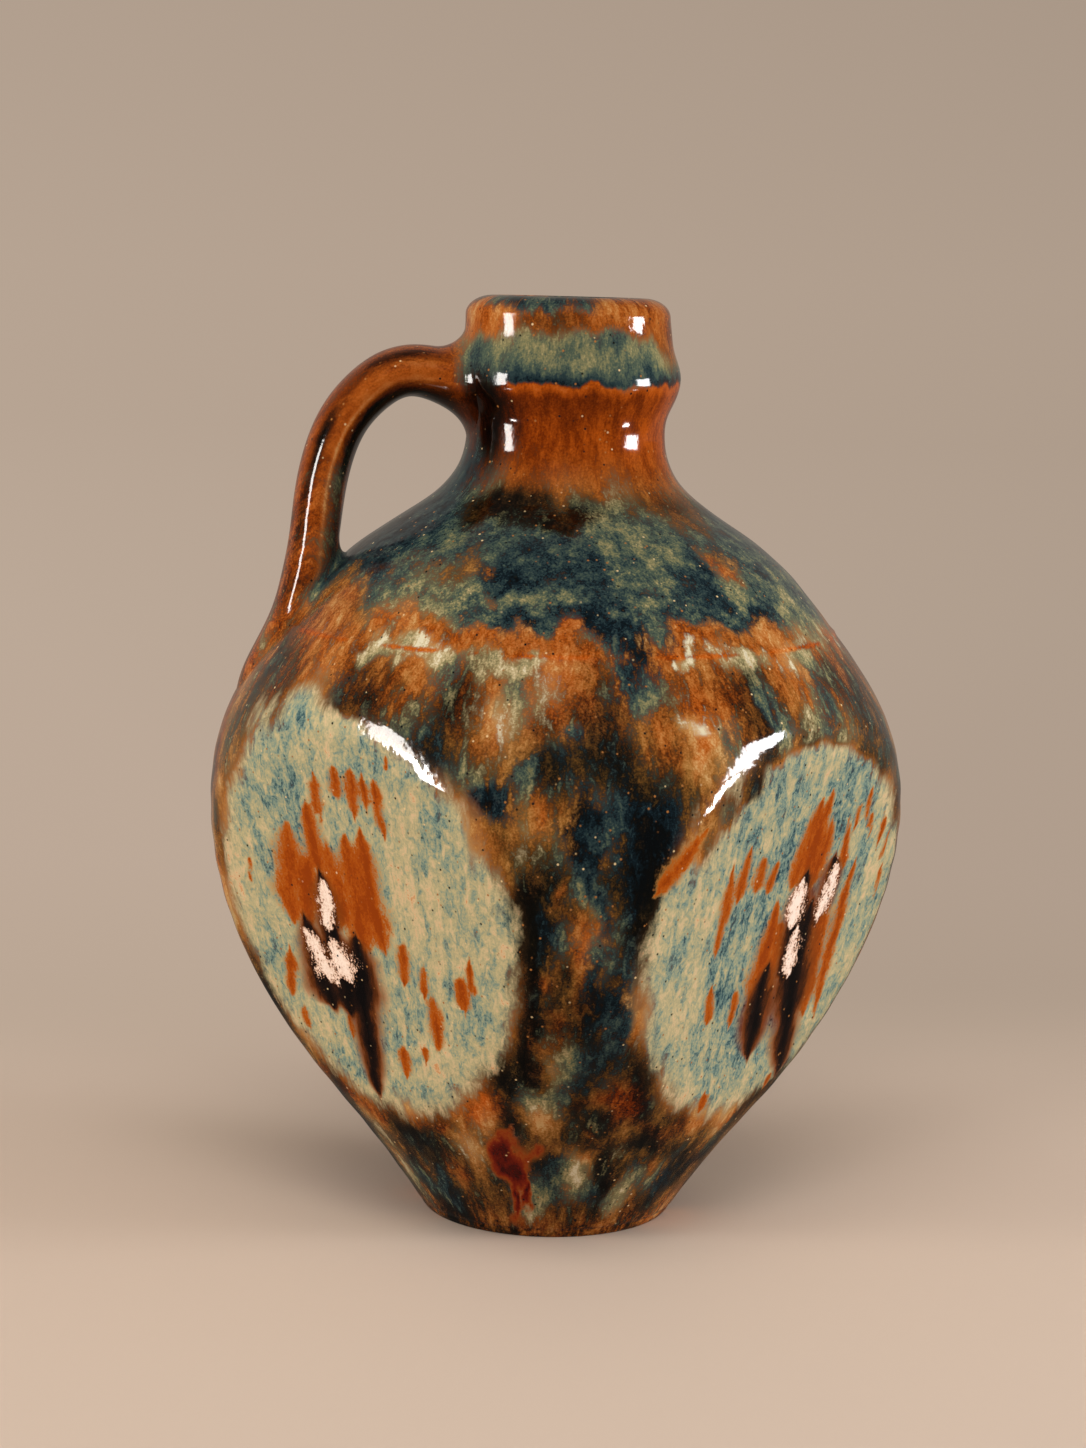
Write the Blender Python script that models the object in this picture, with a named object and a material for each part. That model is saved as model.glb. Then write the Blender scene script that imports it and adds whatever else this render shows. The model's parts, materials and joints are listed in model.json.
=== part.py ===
"""A glazed stoneware jug vase with one handle and four pressed panels, as the pieces a potter lutes together.

Units are metres and +Z is up. The origin is on the turning axis, at the underside of the foot.
The handle stands to -X, and the four panels face between the axes, at 45 degrees to them.
"""

import math

import bmesh
import bpy
import numpy as np

# The turned outline from the foot up: how high each stretch is, and the outer radius where it ends.
FOOT_RADIUS = 0.0326
BELLY_HEIGHT = 0.107
BELLY_RADIUS = 0.0900
SHOULDER_RISE = 0.096
NECK_RADIUS = 0.0258
NECK_RISE = 0.0155
LEDGE_RADIUS = 0.0294
COLLAR_RISE = 0.0205
RIM_RADIUS = 0.0263
NECK_HEIGHT = BELLY_HEIGHT + SHOULDER_RISE
LEDGE_HEIGHT = NECK_HEIGHT + NECK_RISE
RIM_HEIGHT = LEDGE_HEIGHT + COLLAR_RISE

# The outline between those places: share of the height, then share of the growth in radius.
FOOT_TO_BELLY_SHARES = ((0.178, 0.232), (0.402, 0.564), (0.701, 0.886))
NECK_TO_BELLY_SHARES = ((0.146, 0.110), (0.271, 0.378), (0.458, 0.655), (0.708, 0.914))
NECK_TO_LEDGE_SHARES = ((0.40, 0.16), (0.70, 0.72))
LEDGE_TO_RIM_SHARES = ((0.30, 0.48), (0.60, 0.90), (0.86, 1.0))

# The lip: a round outer edge, a slope up to the crest and a tighter round edge into the mouth.
MOUTH_RADIUS = 0.0175
LIP_OUTER_ROUND = 0.0024
LIP_INNER_ROUND = 0.0018
LIP_FALL = 0.0016

# The wall, the floor and the seams where one thrown piece stands on the next.
WALL = 0.005
FLOOR = 0.008
FLOOR_CURVE = 0.005
FLOOR_CURVE_SHARES = ((0.5, 0.2), (-0.5, 0.0))
SHOULDER_JOINT_SHARE = 0.5
NECK_JOINT_SHARE = 0.833
COLLAR_JOINT_SHARE = 0.55
JOINT_KEY_DEPTH = 0.0016
SEAM = 0.0003
SHOULDER_JOINT_HEIGHT = BELLY_HEIGHT + SHOULDER_JOINT_SHARE * SHOULDER_RISE
NECK_JOINT_HEIGHT = BELLY_HEIGHT + NECK_JOINT_SHARE * SHOULDER_RISE
COLLAR_JOINT_HEIGHT = NECK_HEIGHT + COLLAR_JOINT_SHARE * NECK_RISE

# The foot ring, which sits round a boss under the bowl.
FOOT_RING_HEIGHT = 0.006
FOOT_RING_WIDTH = 0.008
FOOT_RECESS = 0.003
FOOT_CHAMFER = 0.0006

# The four panels, pressed flat into the soft wall. Their depth is taken at the belly's widest height.
PANEL_COUNT = 4
PANEL_TURN = math.radians(45)
PANEL_DEPTH = 0.0138
PANEL_LEAN = math.radians(14.1)
PANEL_EDGE = 0.0024

# The handle: a pulled strap that leaves the collar, arches over and is pressed on to the shoulder.
# It drops from the ledge's height to its landing, ends in a tail, and stands out a little farther than
# the shoulder does where it lands.
HANDLE_OVERHANG = 0.0020
HANDLE_DROP = 0.053
HANDLE_TAIL = 0.0345
HANDLE_WIDTH = 0.0225
HANDLE_THICKNESS = 0.0132

# Centre line of the strap's free arch: share of the reach, then share of the way up from the landing.
ARCH_SHARES = (
    (-0.09, 0.984),
    (0.153, 1.004),
    (0.435, 1.009),
    (0.650, 0.913),
    (0.803, 0.777),
    (0.900, 0.606),
    (0.957, 0.404),
    (0.990, 0.197),
)
# Centre line along the shoulder: share of the way from tail to landing, then lift off the body as a
# share of the strap's thickness.
LANDING_SHARES = ((1.0, 0.28), (0.72, -0.04), (0.435, -0.14), (0.217, -0.17), (0.0, -0.30))
# The strap's width and thickness at each of those places, as shares of the handle's own.
WIDTH_SHARES = (1.10, 1.06, 1.02, 1.0, 0.98, 0.97, 0.97, 1.0, 1.06, 1.06, 0.86, 0.54, 0.20)
THICKNESS_SHARES = (1.0, 1.0, 1.0, 0.99, 0.98, 0.98, 0.98, 0.97, 0.94, 0.80, 0.60, 0.42, 0.26)

# The rolls of clay smoothed round the two ends of the handle.
UPPER_ROLL_ABOVE = 0.0065
UPPER_ROLL_BELOW = 0.0120
UPPER_ROLL_SIDE = 0.0055
LOWER_ROLL_SIDE = 0.0030
LOWER_ROLL_START = 0.0110
LOWER_ROLL_SLOPE = 0.0080
ROLL_LIP = 0.0007
ROLL_TOP_SHARE = 0.85

# How finely the curves are cut.
TURN_STEPS = 72
BOWL_RINGS = (17, 9)
SHOULDER_RINGS = 7
NECK_RINGS = 6
COLLAR_RINGS = (4, 6)
INNER_RINGS = {"bowl": 11, "shoulder": 5, "neck": 4, "collar": 3}
LIP_RINGS = (4, 3)
SECTION_POINTS = 20
STRAP_RINGS = 26
UPPER_ROLL_RINGS = 9
LOWER_ROLL_RINGS = 16
SEARCH_STEPS = 400
SHARP_ANGLE = math.radians(40)
SECTION_POWER = 2.4

GLAZE_COLOURS = {
    "foot_ring": (0.36, 0.17, 0.07),
    "bowl": (0.42, 0.45, 0.36),
    "shoulder": (0.10, 0.14, 0.13),
    "neck": (0.36, 0.12, 0.03),
    "collar": (0.20, 0.22, 0.15),
    "handle_strap": (0.38, 0.11, 0.03),
    "upper_roll": (0.34, 0.10, 0.03),
    "lower_roll": (0.30, 0.10, 0.03),
}
GLAZE_ROUGHNESS = 0.12
BARE_CLAY_ROUGHNESS = 0.6


def clear_scene():
    for item in list(bpy.data.objects):
        bpy.data.objects.remove(item, do_unlink=True)


def spline_through(places, values):
    """The natural cubic curve through the given places, as a function of place."""
    x = np.array(places)
    y = np.array(values)
    step = np.diff(x)
    count = len(x)
    matrix = np.eye(count)
    right = np.zeros(count)
    for i in range(1, count - 1):
        matrix[i, i - 1] = step[i - 1]
        matrix[i, i] = 2 * (step[i - 1] + step[i])
        matrix[i, i + 1] = step[i]
        right[i] = 6 * ((y[i + 1] - y[i]) / step[i] - (y[i] - y[i - 1]) / step[i - 1])
    bend = np.linalg.solve(matrix, right)

    def value(place):
        i = int(np.clip(np.searchsorted(x, place) - 1, 0, count - 2))
        low = (x[i + 1] - place) / step[i]
        high = (place - x[i]) / step[i]
        sag = ((low**3 - low) * bend[i] + (high**3 - high) * bend[i + 1]) * step[i] ** 2 / 6
        return float(low * y[i] + high * y[i + 1] + sag)

    return value


def turned_stations():
    """Heights and outer radii that the turned outline passes through, from foot to rim."""
    stations = [(0.0, FOOT_RADIUS)]
    for rise, growth in FOOT_TO_BELLY_SHARES:
        stations.append((rise * BELLY_HEIGHT, FOOT_RADIUS + growth * (BELLY_RADIUS - FOOT_RADIUS)))
    stations.append((BELLY_HEIGHT, BELLY_RADIUS))
    for drop, growth in reversed(NECK_TO_BELLY_SHARES):
        height = NECK_HEIGHT - drop * (NECK_HEIGHT - BELLY_HEIGHT)
        stations.append((height, NECK_RADIUS + growth * (BELLY_RADIUS - NECK_RADIUS)))
    stations.append((NECK_HEIGHT, NECK_RADIUS))
    for rise, growth in NECK_TO_LEDGE_SHARES:
        height = NECK_HEIGHT + rise * (LEDGE_HEIGHT - NECK_HEIGHT)
        stations.append((height, NECK_RADIUS + growth * (LEDGE_RADIUS - NECK_RADIUS)))
    stations.append((LEDGE_HEIGHT, LEDGE_RADIUS))
    for rise, fall in LEDGE_TO_RIM_SHARES:
        height = LEDGE_HEIGHT + rise * (RIM_HEIGHT - LEDGE_HEIGHT)
        stations.append((height, LEDGE_RADIUS + fall * (RIM_RADIUS - LEDGE_RADIUS)))
    return stations


turned_radius = spline_through(*zip(*turned_stations()))


def steepness(height):
    """How much longer the turned outline is than its rise, at this height."""
    slope = (turned_radius(height + SEAM) - turned_radius(height - SEAM)) / (2 * SEAM)
    return math.hypot(1, slope)


def bore_radius(height):
    """The inside of the turned wall, which narrows from the neck to the mouth."""
    if height > NECK_HEIGHT:
        rise = min((height - NECK_HEIGHT) / (LEDGE_HEIGHT - NECK_HEIGHT), 1)
        return NECK_RADIUS - WALL + rise * (MOUTH_RADIUS - NECK_RADIUS + WALL)
    return turned_radius(height) - WALL * steepness(height)


def smooth_min(a, b, blend):
    overlap = max(blend - abs(a - b), 0) / blend
    return min(a, b) - overlap * overlap * blend / 4


def panel_reach(angle, height, inset):
    """Distance from the axis to the nearest panel's face, along this angle."""
    turn = 2 * math.pi / PANEL_COUNT
    off_centre = (angle - PANEL_TURN + turn / 2) % turn - turn / 2
    distance = BELLY_RADIUS - PANEL_DEPTH + (height - BELLY_HEIGHT) * math.tan(PANEL_LEAN)
    return (distance - inset) / math.cos(off_centre)


def press_panels(mesh):
    """Moves the turned wall in to the panels' faces, the inside with the outside."""
    for vert in mesh.verts:
        x, y, height = vert.co
        radius = math.hypot(x, y)
        if radius == 0:
            continue
        depth = min((turned_radius(height) - radius) / steepness(height), WALL)
        face = panel_reach(math.atan2(y, x), height, depth / math.cos(PANEL_LEAN))
        pressed = smooth_min(radius, face, PANEL_EDGE)
        if pressed < radius:
            vert.co.x = x * pressed / radius
            vert.co.y = y * pressed / radius


def glaze(name):
    material = bpy.data.materials.new(name + "_finish")
    material.use_nodes = True
    shader = material.node_tree.nodes["Principled BSDF"]
    shader.inputs["Base Color"].default_value = (*GLAZE_COLOURS[name], 1)
    shader.inputs["Roughness"].default_value = BARE_CLAY_ROUGHNESS if name == "foot_ring" else GLAZE_ROUGHNESS
    shader.inputs["Metallic"].default_value = 0
    return material


def add_object(name, mesh, material=None):
    bmesh.ops.recalc_face_normals(mesh, faces=mesh.faces)
    data = bpy.data.meshes.new(name)
    mesh.to_mesh(data)
    mesh.free()
    data.shade_smooth()
    data.set_sharp_from_angle(angle=SHARP_ANGLE)
    if material:
        data.materials.append(material)
    item = bpy.data.objects.new(name, data)
    bpy.context.scene.collection.objects.link(item)
    return item


def throw(name, outline, material=None, closed=True):
    """Turns an outline of (radius, height) points about the axis, then presses the panels in."""
    mesh = bmesh.new()
    verts = [mesh.verts.new((radius, 0, height)) for radius, height in outline]
    edges = [mesh.edges.new(pair) for pair in zip(verts, verts[1:])]
    if closed:
        edges.append(mesh.edges.new((verts[-1], verts[0])))
    bmesh.ops.spin(
        mesh,
        geom=verts + edges,
        cent=(0, 0, 0),
        axis=(0, 0, 1),
        angle=2 * math.pi,
        steps=TURN_STEPS,
        use_merge=True,
    )
    bmesh.ops.remove_doubles(mesh, verts=mesh.verts, dist=SEAM / 100)
    press_panels(mesh)
    return add_object(name, mesh, material)


def between(low, high, count):
    return [low + (high - low) * i / count for i in range(count + 1)]


def wall_heights(low, high):
    """Heights of the outer wall's rings, closer together where the outline bends tightly."""
    if high <= SHOULDER_JOINT_HEIGHT:
        return between(low, BELLY_HEIGHT, BOWL_RINGS[0]) + between(BELLY_HEIGHT, high, BOWL_RINGS[1])[1:]
    if high <= NECK_JOINT_HEIGHT:
        return between(low, high, SHOULDER_RINGS)
    if high <= COLLAR_JOINT_HEIGHT:
        return between(low, high, NECK_RINGS)
    return between(low, LEDGE_HEIGHT, COLLAR_RINGS[0]) + between(LEDGE_HEIGHT, high, COLLAR_RINGS[1])[1:]


def outside(heights):
    return [(turned_radius(height), height) for height in heights]


def inside(low, high, count):
    """Points down the inside of the wall, from high to low."""
    return [(bore_radius(height), height) for height in reversed(between(low, high, count))]


def key_point(joint_height, lift):
    """The bottom of the shallow groove, or of the ridge above it, at mid wall in a joint."""
    middle = (turned_radius(joint_height) + bore_radius(joint_height)) / 2
    return [(middle, joint_height - JOINT_KEY_DEPTH + lift)]


def foot_inner_radius():
    return FOOT_RADIUS - FOOT_RING_WIDTH


def foot_ring():
    """The turned ring that the jug stands on, bare of glaze below."""
    inner = foot_inner_radius()
    outline = [(inner + FOOT_CHAMFER, 0), (FOOT_RADIUS - FOOT_CHAMFER, 0)]
    outline += outside([FOOT_CHAMFER, FOOT_RING_HEIGHT / 2, FOOT_RING_HEIGHT])
    outline += [(inner, FOOT_RING_HEIGHT), (inner, FOOT_CHAMFER)]
    return throw("foot_ring", outline, glaze("foot_ring"))


def bowl():
    """The lower body with its floor, which holds all four panels."""
    base = FOOT_RING_HEIGHT + SEAM
    boss = foot_inner_radius() - SEAM
    floor_top = FOOT_RECESS + FLOOR
    floor_edge = floor_top + FLOOR_CURVE
    corner = bore_radius(floor_edge) - FLOOR_CURVE
    outline = [(0, FOOT_RECESS), (boss, FOOT_RECESS), (boss, base)]
    outline += outside(wall_heights(base, SHOULDER_JOINT_HEIGHT))
    outline += key_point(SHOULDER_JOINT_HEIGHT, 0)
    outline += inside(floor_edge, SHOULDER_JOINT_HEIGHT, INNER_RINGS["bowl"])
    for out, up in FLOOR_CURVE_SHARES:
        outline.append((corner + out * FLOOR_CURVE, floor_top + up * FLOOR_CURVE))
    outline.append((0, floor_top))
    return throw("bowl", outline, glaze("bowl"), closed=False)


def ring_piece(name, low_joint, high_joint):
    """A thrown ring of the body, keyed to the pieces below and above it."""
    low = low_joint + SEAM
    outline = outside(wall_heights(low, high_joint))
    outline += key_point(high_joint, 0)
    outline += inside(low, high_joint, INNER_RINGS[name])
    outline += key_point(low_joint, SEAM)
    return throw(name, outline, glaze(name))


def arc(centre_radius, centre_height, radius, start, end, count):
    """Points of an arc in the outline, with angles counted from outward, up."""
    points = []
    for angle in between(start, end, count):
        points.append((centre_radius + radius * math.cos(angle), centre_height + radius * math.sin(angle)))
    return points


def collar():
    """The thick collar with its ledge, and a lip that slopes up to the mouth."""
    low = COLLAR_JOINT_HEIGHT + SEAM
    outer_turn = RIM_HEIGHT - LIP_FALL - LIP_OUTER_ROUND
    inner_turn = RIM_HEIGHT - LIP_INNER_ROUND
    slope = math.atan2(LIP_FALL, RIM_RADIUS - LIP_OUTER_ROUND - MOUTH_RADIUS - LIP_INNER_ROUND)
    up = math.pi / 2
    outline = outside(wall_heights(low, outer_turn))[:-1]
    outline += arc(RIM_RADIUS - LIP_OUTER_ROUND, outer_turn, LIP_OUTER_ROUND, 0, up - slope, LIP_RINGS[0])
    outline += arc(MOUTH_RADIUS + LIP_INNER_ROUND, inner_turn, LIP_INNER_ROUND, up, math.pi, LIP_RINGS[1])
    outline += inside(low, LEDGE_HEIGHT, INNER_RINGS["collar"])
    outline += key_point(COLLAR_JOINT_HEIGHT, SEAM)
    return throw("collar", outline, glaze("collar"))


def body_envelope():
    """A closed cutter one seam larger than the whole outside of the body."""
    heights = wall_heights(FOOT_RING_HEIGHT + SEAM, SHOULDER_JOINT_HEIGHT)
    heights += wall_heights(SHOULDER_JOINT_HEIGHT + SEAM, NECK_JOINT_HEIGHT)
    heights += wall_heights(NECK_JOINT_HEIGHT + SEAM, COLLAR_JOINT_HEIGHT)
    heights += wall_heights(COLLAR_JOINT_HEIGHT + SEAM, RIM_HEIGHT)
    outline = [(0, heights[0])]
    outline += [(turned_radius(height) + SEAM * steepness(height), height) for height in heights]
    outline += [(0, heights[-1])]
    return as_cutter(throw("body_envelope", outline, closed=False))


def as_cutter(item):
    item.hide_render = True
    item.display_type = "WIRE"
    return item


def handle_reach():
    """How far the arch stands out from the neck."""
    return turned_radius(LEDGE_HEIGHT - HANDLE_DROP) + HANDLE_OVERHANG - NECK_RADIUS


def strap_stations():
    """Centre line places (distance from axis, height) of the handle, from collar to tail."""
    stations = []
    landing = LEDGE_HEIGHT - HANDLE_DROP
    for out, up in ARCH_SHARES:
        stations.append((NECK_RADIUS + out * handle_reach(), landing + up * HANDLE_DROP))
    for up, lift in LANDING_SHARES:
        height = landing + (up - 1) * HANDLE_TAIL
        stations.append((turned_radius(height) + lift * HANDLE_THICKNESS, height))
    return stations


def strap_curves():
    """Functions of the length along the strap, and that length: place, height, half width, half thickness."""
    stations = np.array(strap_stations())
    lengths = np.concatenate([[0], np.cumsum(np.hypot(*np.diff(stations, axis=0).T))])
    half_widths = np.array(WIDTH_SHARES) * HANDLE_WIDTH / 2
    half_thicknesses = np.array(THICKNESS_SHARES) * HANDLE_THICKNESS / 2
    columns = (stations[:, 0], stations[:, 1], half_widths, half_thicknesses)
    return [spline_through(lengths, column) for column in columns], float(lengths[-1])


def section_ring(curves, along, sides=0, above=0, below=0):
    """One oval ring of the strap at a length along it, grown at the sides, above and below."""
    place, height, half_width, half_thickness = (curve(along) for curve in curves)
    run = curves[0](along + SEAM) - curves[0](along - SEAM)
    rise = curves[1](along + SEAM) - curves[1](along - SEAM)
    length = math.hypot(run, rise)
    outward = (-rise / length, run / length)
    tall = half_thickness + (above + below) / 2
    shift = (above - below) / 2
    ring = []
    for i in range(SECTION_POINTS):
        angle = 2 * math.pi * i / SECTION_POINTS
        across = math.copysign(abs(math.cos(angle)) ** (2 / SECTION_POWER), math.cos(angle))
        up = math.copysign(abs(math.sin(angle)) ** (2 / SECTION_POWER), math.sin(angle))
        lift = shift + tall * up
        from_axis = place + outward[0] * lift
        ring.append((-from_axis, (half_width + sides) * across, height + outward[1] * lift))
    return ring


def loft(name, rings, material=None):
    """A closed solid through rings that have the same number of points."""
    mesh = bmesh.new()
    loops = [[mesh.verts.new(point) for point in ring] for ring in rings]
    for first, second in zip(loops, loops[1:]):
        for i in range(len(first)):
            j = (i + 1) % len(first)
            mesh.faces.new((first[i], first[j], second[j], second[i]))
    mesh.faces.new(loops[0])
    mesh.faces.new(loops[-1])
    bmesh.ops.triangulate(mesh, faces=mesh.faces)
    return add_object(name, mesh, material)


def cut(item, cutter):
    modifier = item.modifiers.new("cut_by_" + cutter.name, "BOOLEAN")
    modifier.operation = "DIFFERENCE"
    modifier.solver = "EXACT"
    modifier.object = cutter


def handle_strap(envelope):
    curves, length = strap_curves()
    rings = [section_ring(curves, along) for along in between(0, length, STRAP_RINGS)]
    strap = loft("handle_strap", rings, glaze("handle_strap"))
    cut(strap, envelope)
    return strap


def strap_cutter():
    """The strap, one seam larger all round."""
    curves, length = strap_curves()
    rings = []
    for along in between(0, length, STRAP_RINGS):
        rings.append(section_ring(curves, along, sides=SEAM, above=SEAM, below=SEAM))
    return as_cutter(loft("strap_cutter", rings))


def length_where(test, length):
    """The first length along the strap, in fine steps, where the test holds."""
    for along in between(0, length, SEARCH_STEPS):
        if test(along):
            return along
    return length


def hollow_curve(distance, reach):
    """A quarter circle's hollow: 1 at no distance, falling to 0 at the reach."""
    left = 1 - min(max(distance / reach, 0), 1)
    return 1 - math.sqrt(1 - left * left)


def upper_roll(envelope, cutter):
    """Clay smoothed round the strap's root on the collar and neck, hollow in profile."""
    curves, length = strap_curves()
    base = length_where(lambda along: curves[0](along) > RIM_RADIUS, length)
    rings = []
    for along in between(base - UPPER_ROLL_SIDE, base + UPPER_ROLL_BELOW, UPPER_ROLL_RINGS):
        out = along - base
        rings.append(
            section_ring(
                curves,
                along,
                sides=ROLL_LIP + UPPER_ROLL_SIDE * hollow_curve(out, UPPER_ROLL_SIDE),
                above=ROLL_LIP + UPPER_ROLL_ABOVE * hollow_curve(out, UPPER_ROLL_ABOVE),
                below=ROLL_LIP + UPPER_ROLL_BELOW * hollow_curve(out + WALL / 2, UPPER_ROLL_BELOW),
            )
        )
    roll = loft("upper_roll", rings, glaze("upper_roll"))
    cut(roll, envelope)
    cut(roll, cutter)
    return roll


def lower_roll(envelope, cutter):
    """Clay pressed into the crotch and along both sides of the strap where it lands on the shoulder."""
    curves, length = strap_curves()
    start_height = LEDGE_HEIGHT - HANDLE_DROP + LOWER_ROLL_START
    arch_top = length_where(lambda along: curves[0](along) > NECK_RADIUS + handle_reach() / 2, length)
    start = length_where(lambda along: along > arch_top and curves[1](along) < start_height, length)
    rings = []
    for along in between(start, length, LOWER_ROLL_RINGS):
        grown = 1 - hollow_curve(along - start, LOWER_ROLL_SLOPE)
        below_top = -ROLL_TOP_SHARE * curves[3](along)
        side = ROLL_LIP + grown * LOWER_ROLL_SIDE
        rings.append(section_ring(curves, along, sides=side, above=below_top, below=ROLL_LIP))
    roll = loft("lower_roll", rings, glaze("lower_roll"))
    cut(roll, envelope)
    cut(roll, cutter)
    return roll


def main():
    clear_scene()
    foot_ring()
    bowl()
    ring_piece("shoulder", SHOULDER_JOINT_HEIGHT, NECK_JOINT_HEIGHT)
    ring_piece("neck", NECK_JOINT_HEIGHT, COLLAR_JOINT_HEIGHT)
    collar()
    envelope = body_envelope()
    handle_strap(envelope)
    cutter = strap_cutter()
    upper_roll(envelope, cutter)
    lower_roll(envelope, cutter)


main()
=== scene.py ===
"""Looks of the handled jug vase: reactive glaze over thrown stoneware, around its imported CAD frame.

Units are metres and +Z is up. The origin is on the turning axis, at the underside of the foot.
The handle stands to -X, and the four pressed panels face between the axes.
"""

import json
import math

import bmesh
import bpy
import numpy as np
from mathutils import Matrix, Vector

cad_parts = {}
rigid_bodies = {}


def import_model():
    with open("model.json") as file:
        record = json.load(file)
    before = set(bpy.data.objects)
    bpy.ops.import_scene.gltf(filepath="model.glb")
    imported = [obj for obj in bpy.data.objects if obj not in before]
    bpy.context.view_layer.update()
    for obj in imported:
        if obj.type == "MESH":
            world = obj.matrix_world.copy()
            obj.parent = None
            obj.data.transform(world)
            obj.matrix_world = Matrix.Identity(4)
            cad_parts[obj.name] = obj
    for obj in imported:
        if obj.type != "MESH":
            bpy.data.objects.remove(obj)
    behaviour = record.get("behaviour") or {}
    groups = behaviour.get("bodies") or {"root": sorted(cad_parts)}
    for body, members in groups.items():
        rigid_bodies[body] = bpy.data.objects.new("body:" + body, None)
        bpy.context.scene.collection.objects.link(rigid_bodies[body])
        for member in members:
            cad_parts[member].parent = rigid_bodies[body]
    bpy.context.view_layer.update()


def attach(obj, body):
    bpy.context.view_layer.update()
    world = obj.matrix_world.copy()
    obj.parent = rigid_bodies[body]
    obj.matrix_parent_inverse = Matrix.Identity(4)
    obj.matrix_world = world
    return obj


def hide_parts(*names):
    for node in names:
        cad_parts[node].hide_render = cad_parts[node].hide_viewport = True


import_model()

MM = 0.001

# The turned outline, as in the CAD model: radii, and the heights that they are reached at.
FOOT_RADIUS = 0.0326
BELLY_HEIGHT = 0.107
BELLY_RADIUS = 0.0900
NECK_HEIGHT = 0.203
NECK_RADIUS = 0.0258
LEDGE_HEIGHT = 0.2185
LEDGE_RADIUS = 0.0294
RIM_HEIGHT = 0.239
RIM_RADIUS = 0.0263
FOOT_TO_BELLY_SHARES = ((0.178, 0.232), (0.402, 0.564), (0.701, 0.886))
NECK_TO_BELLY_SHARES = ((0.146, 0.110), (0.271, 0.378), (0.458, 0.655), (0.708, 0.914))
NECK_TO_LEDGE_SHARES = ((0.40, 0.16), (0.70, 0.72))
LEDGE_TO_RIM_SHARES = ((0.30, 0.48), (0.60, 0.90), (0.86, 1.0))
# The mouth and its domed lip.
MOUTH_RADIUS = 0.0175
LIP_DOME = 0.0050
LIP_START = RIM_HEIGHT - LIP_DOME
LIP_INNER_ROUND = 0.0018
# The wall's thickness, the floor inside and the joints between the thrown pieces.
WALL = 0.005
FLOOR_TOP = 0.011
FLOOR_CURVE = 0.005
SHOULDER_JOINT = 0.155
NECK_JOINT = 0.187
COLLAR_JOINT = 0.2115
FOOT_RING_HEIGHT = 0.006
FOOT_RING_INNER = 0.0246
FOOT_RECESS = 0.003
FOOT_BEVEL = 0.0006
# The panels: the first one's direction, their distance from the axis at the belly, their lean, and how
# far their edges are blended into the round wall.
PANEL_TURN = math.radians(45)
PANEL_DISTANCE = 0.0762
PANEL_LEAN = math.radians(14.1)
PANEL_EDGE = 0.0050
# The raised line at the shoulder's joint and the groove above the foot: height, half width and depth.
SHOULDER_LINE = (SHOULDER_JOINT, 0.7 * MM, 0.32 * MM)
FOOT_GROOVE = (0.0022, 0.5 * MM, 0.30 * MM)
# The hand's unevenness: the throwing spiral's pitch, how slowly it swells and fades, and its depth;
# how slowly the two broad dents climb, and their depth.
SPIRAL_PITCH, SPIRAL_SWELL, SPIRAL_DEPTH = 9.5 * MM, 21 * MM, 0.09 * MM
DENT_CLIMBS, DENT_DEPTH = (17 * MM, 11 * MM), 0.05 * MM
# Steps over which the outline's and the wall's slopes are taken.
OUTLINE_STEP = 0.3 * MM
WALL_STEP = 0.2 * MM
# Points nearer than this count as one, points as near as this to the outside lie on it, and the wall
# starts this far under the top of the foot's bevel.
SAME_POINT, ON_OUTSIDE, BEVEL_OVERLAP = 0.01 * MM, 0.02 * MM, 0.1 * MM
# Columns of points round each thrown piece, and the spacing of its rows on the outside and the inside.
AROUND = 420
BOWL_ROWS = (1.02 * MM, 6 * MM)
RING_ROWS = (0.8 * MM, 4 * MM)
COLLAR_ROWS = (0.45 * MM, 3 * MM)
FOOT_ROWS = 0.5 * MM
LIP_ROWS, LIP_INNER_ROWS = 22, 7
# Samples of the outline: of the part that a piece has, and of the whole.
PART_SAMPLES, WHOLE_SAMPLES = 400, 1200


def natural_spline(places, values):
    """A smooth curve through the given points, as a function of an array of places."""
    x, y = np.array(places, float), np.array(values, float)
    step = np.diff(x)
    count = len(x)
    matrix, right = np.eye(count), np.zeros(count)
    for i in range(1, count - 1):
        matrix[i, i - 1 : i + 2] = step[i - 1], 2 * (step[i - 1] + step[i]), step[i]
        right[i] = 6 * ((y[i + 1] - y[i]) / step[i] - (y[i] - y[i - 1]) / step[i - 1])
    bend = np.linalg.solve(matrix, right)

    def value(place):
        place = np.asarray(place, float)
        i = np.clip(np.searchsorted(x, place) - 1, 0, count - 2)
        low, high = (x[i + 1] - place) / step[i], (place - x[i]) / step[i]
        sag = ((low**3 - low) * bend[i] + (high**3 - high) * bend[i + 1]) * step[i] ** 2 / 6
        return low * y[i] + high * y[i + 1] + sag

    return value


def outline_stations():
    """The points that the turned outline passes through, from the foot to the rim."""
    foot, belly, neck = (0.0, FOOT_RADIUS), (BELLY_HEIGHT, BELLY_RADIUS), (NECK_HEIGHT, NECK_RADIUS)
    ledge, rim = (LEDGE_HEIGHT, LEDGE_RADIUS), (RIM_HEIGHT, RIM_RADIUS)
    stations = [foot, belly, neck, ledge]
    for start, end, shares in (
        (foot, belly, FOOT_TO_BELLY_SHARES),
        (neck, belly, NECK_TO_BELLY_SHARES),
        (neck, ledge, NECK_TO_LEDGE_SHARES),
        (ledge, rim, LEDGE_TO_RIM_SHARES),
    ):
        for up, out in shares:
            stations.append((start[0] + up * (end[0] - start[0]), start[1] + out * (end[1] - start[1])))
    return sorted(stations)


turned_radius = natural_spline(*zip(*outline_stations()))


def steepness(height):
    """How much longer the turned outline is than its rise."""
    rise = turned_radius(height + OUTLINE_STEP) - turned_radius(height - OUTLINE_STEP)
    return np.hypot(1, rise / (2 * OUTLINE_STEP))


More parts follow.
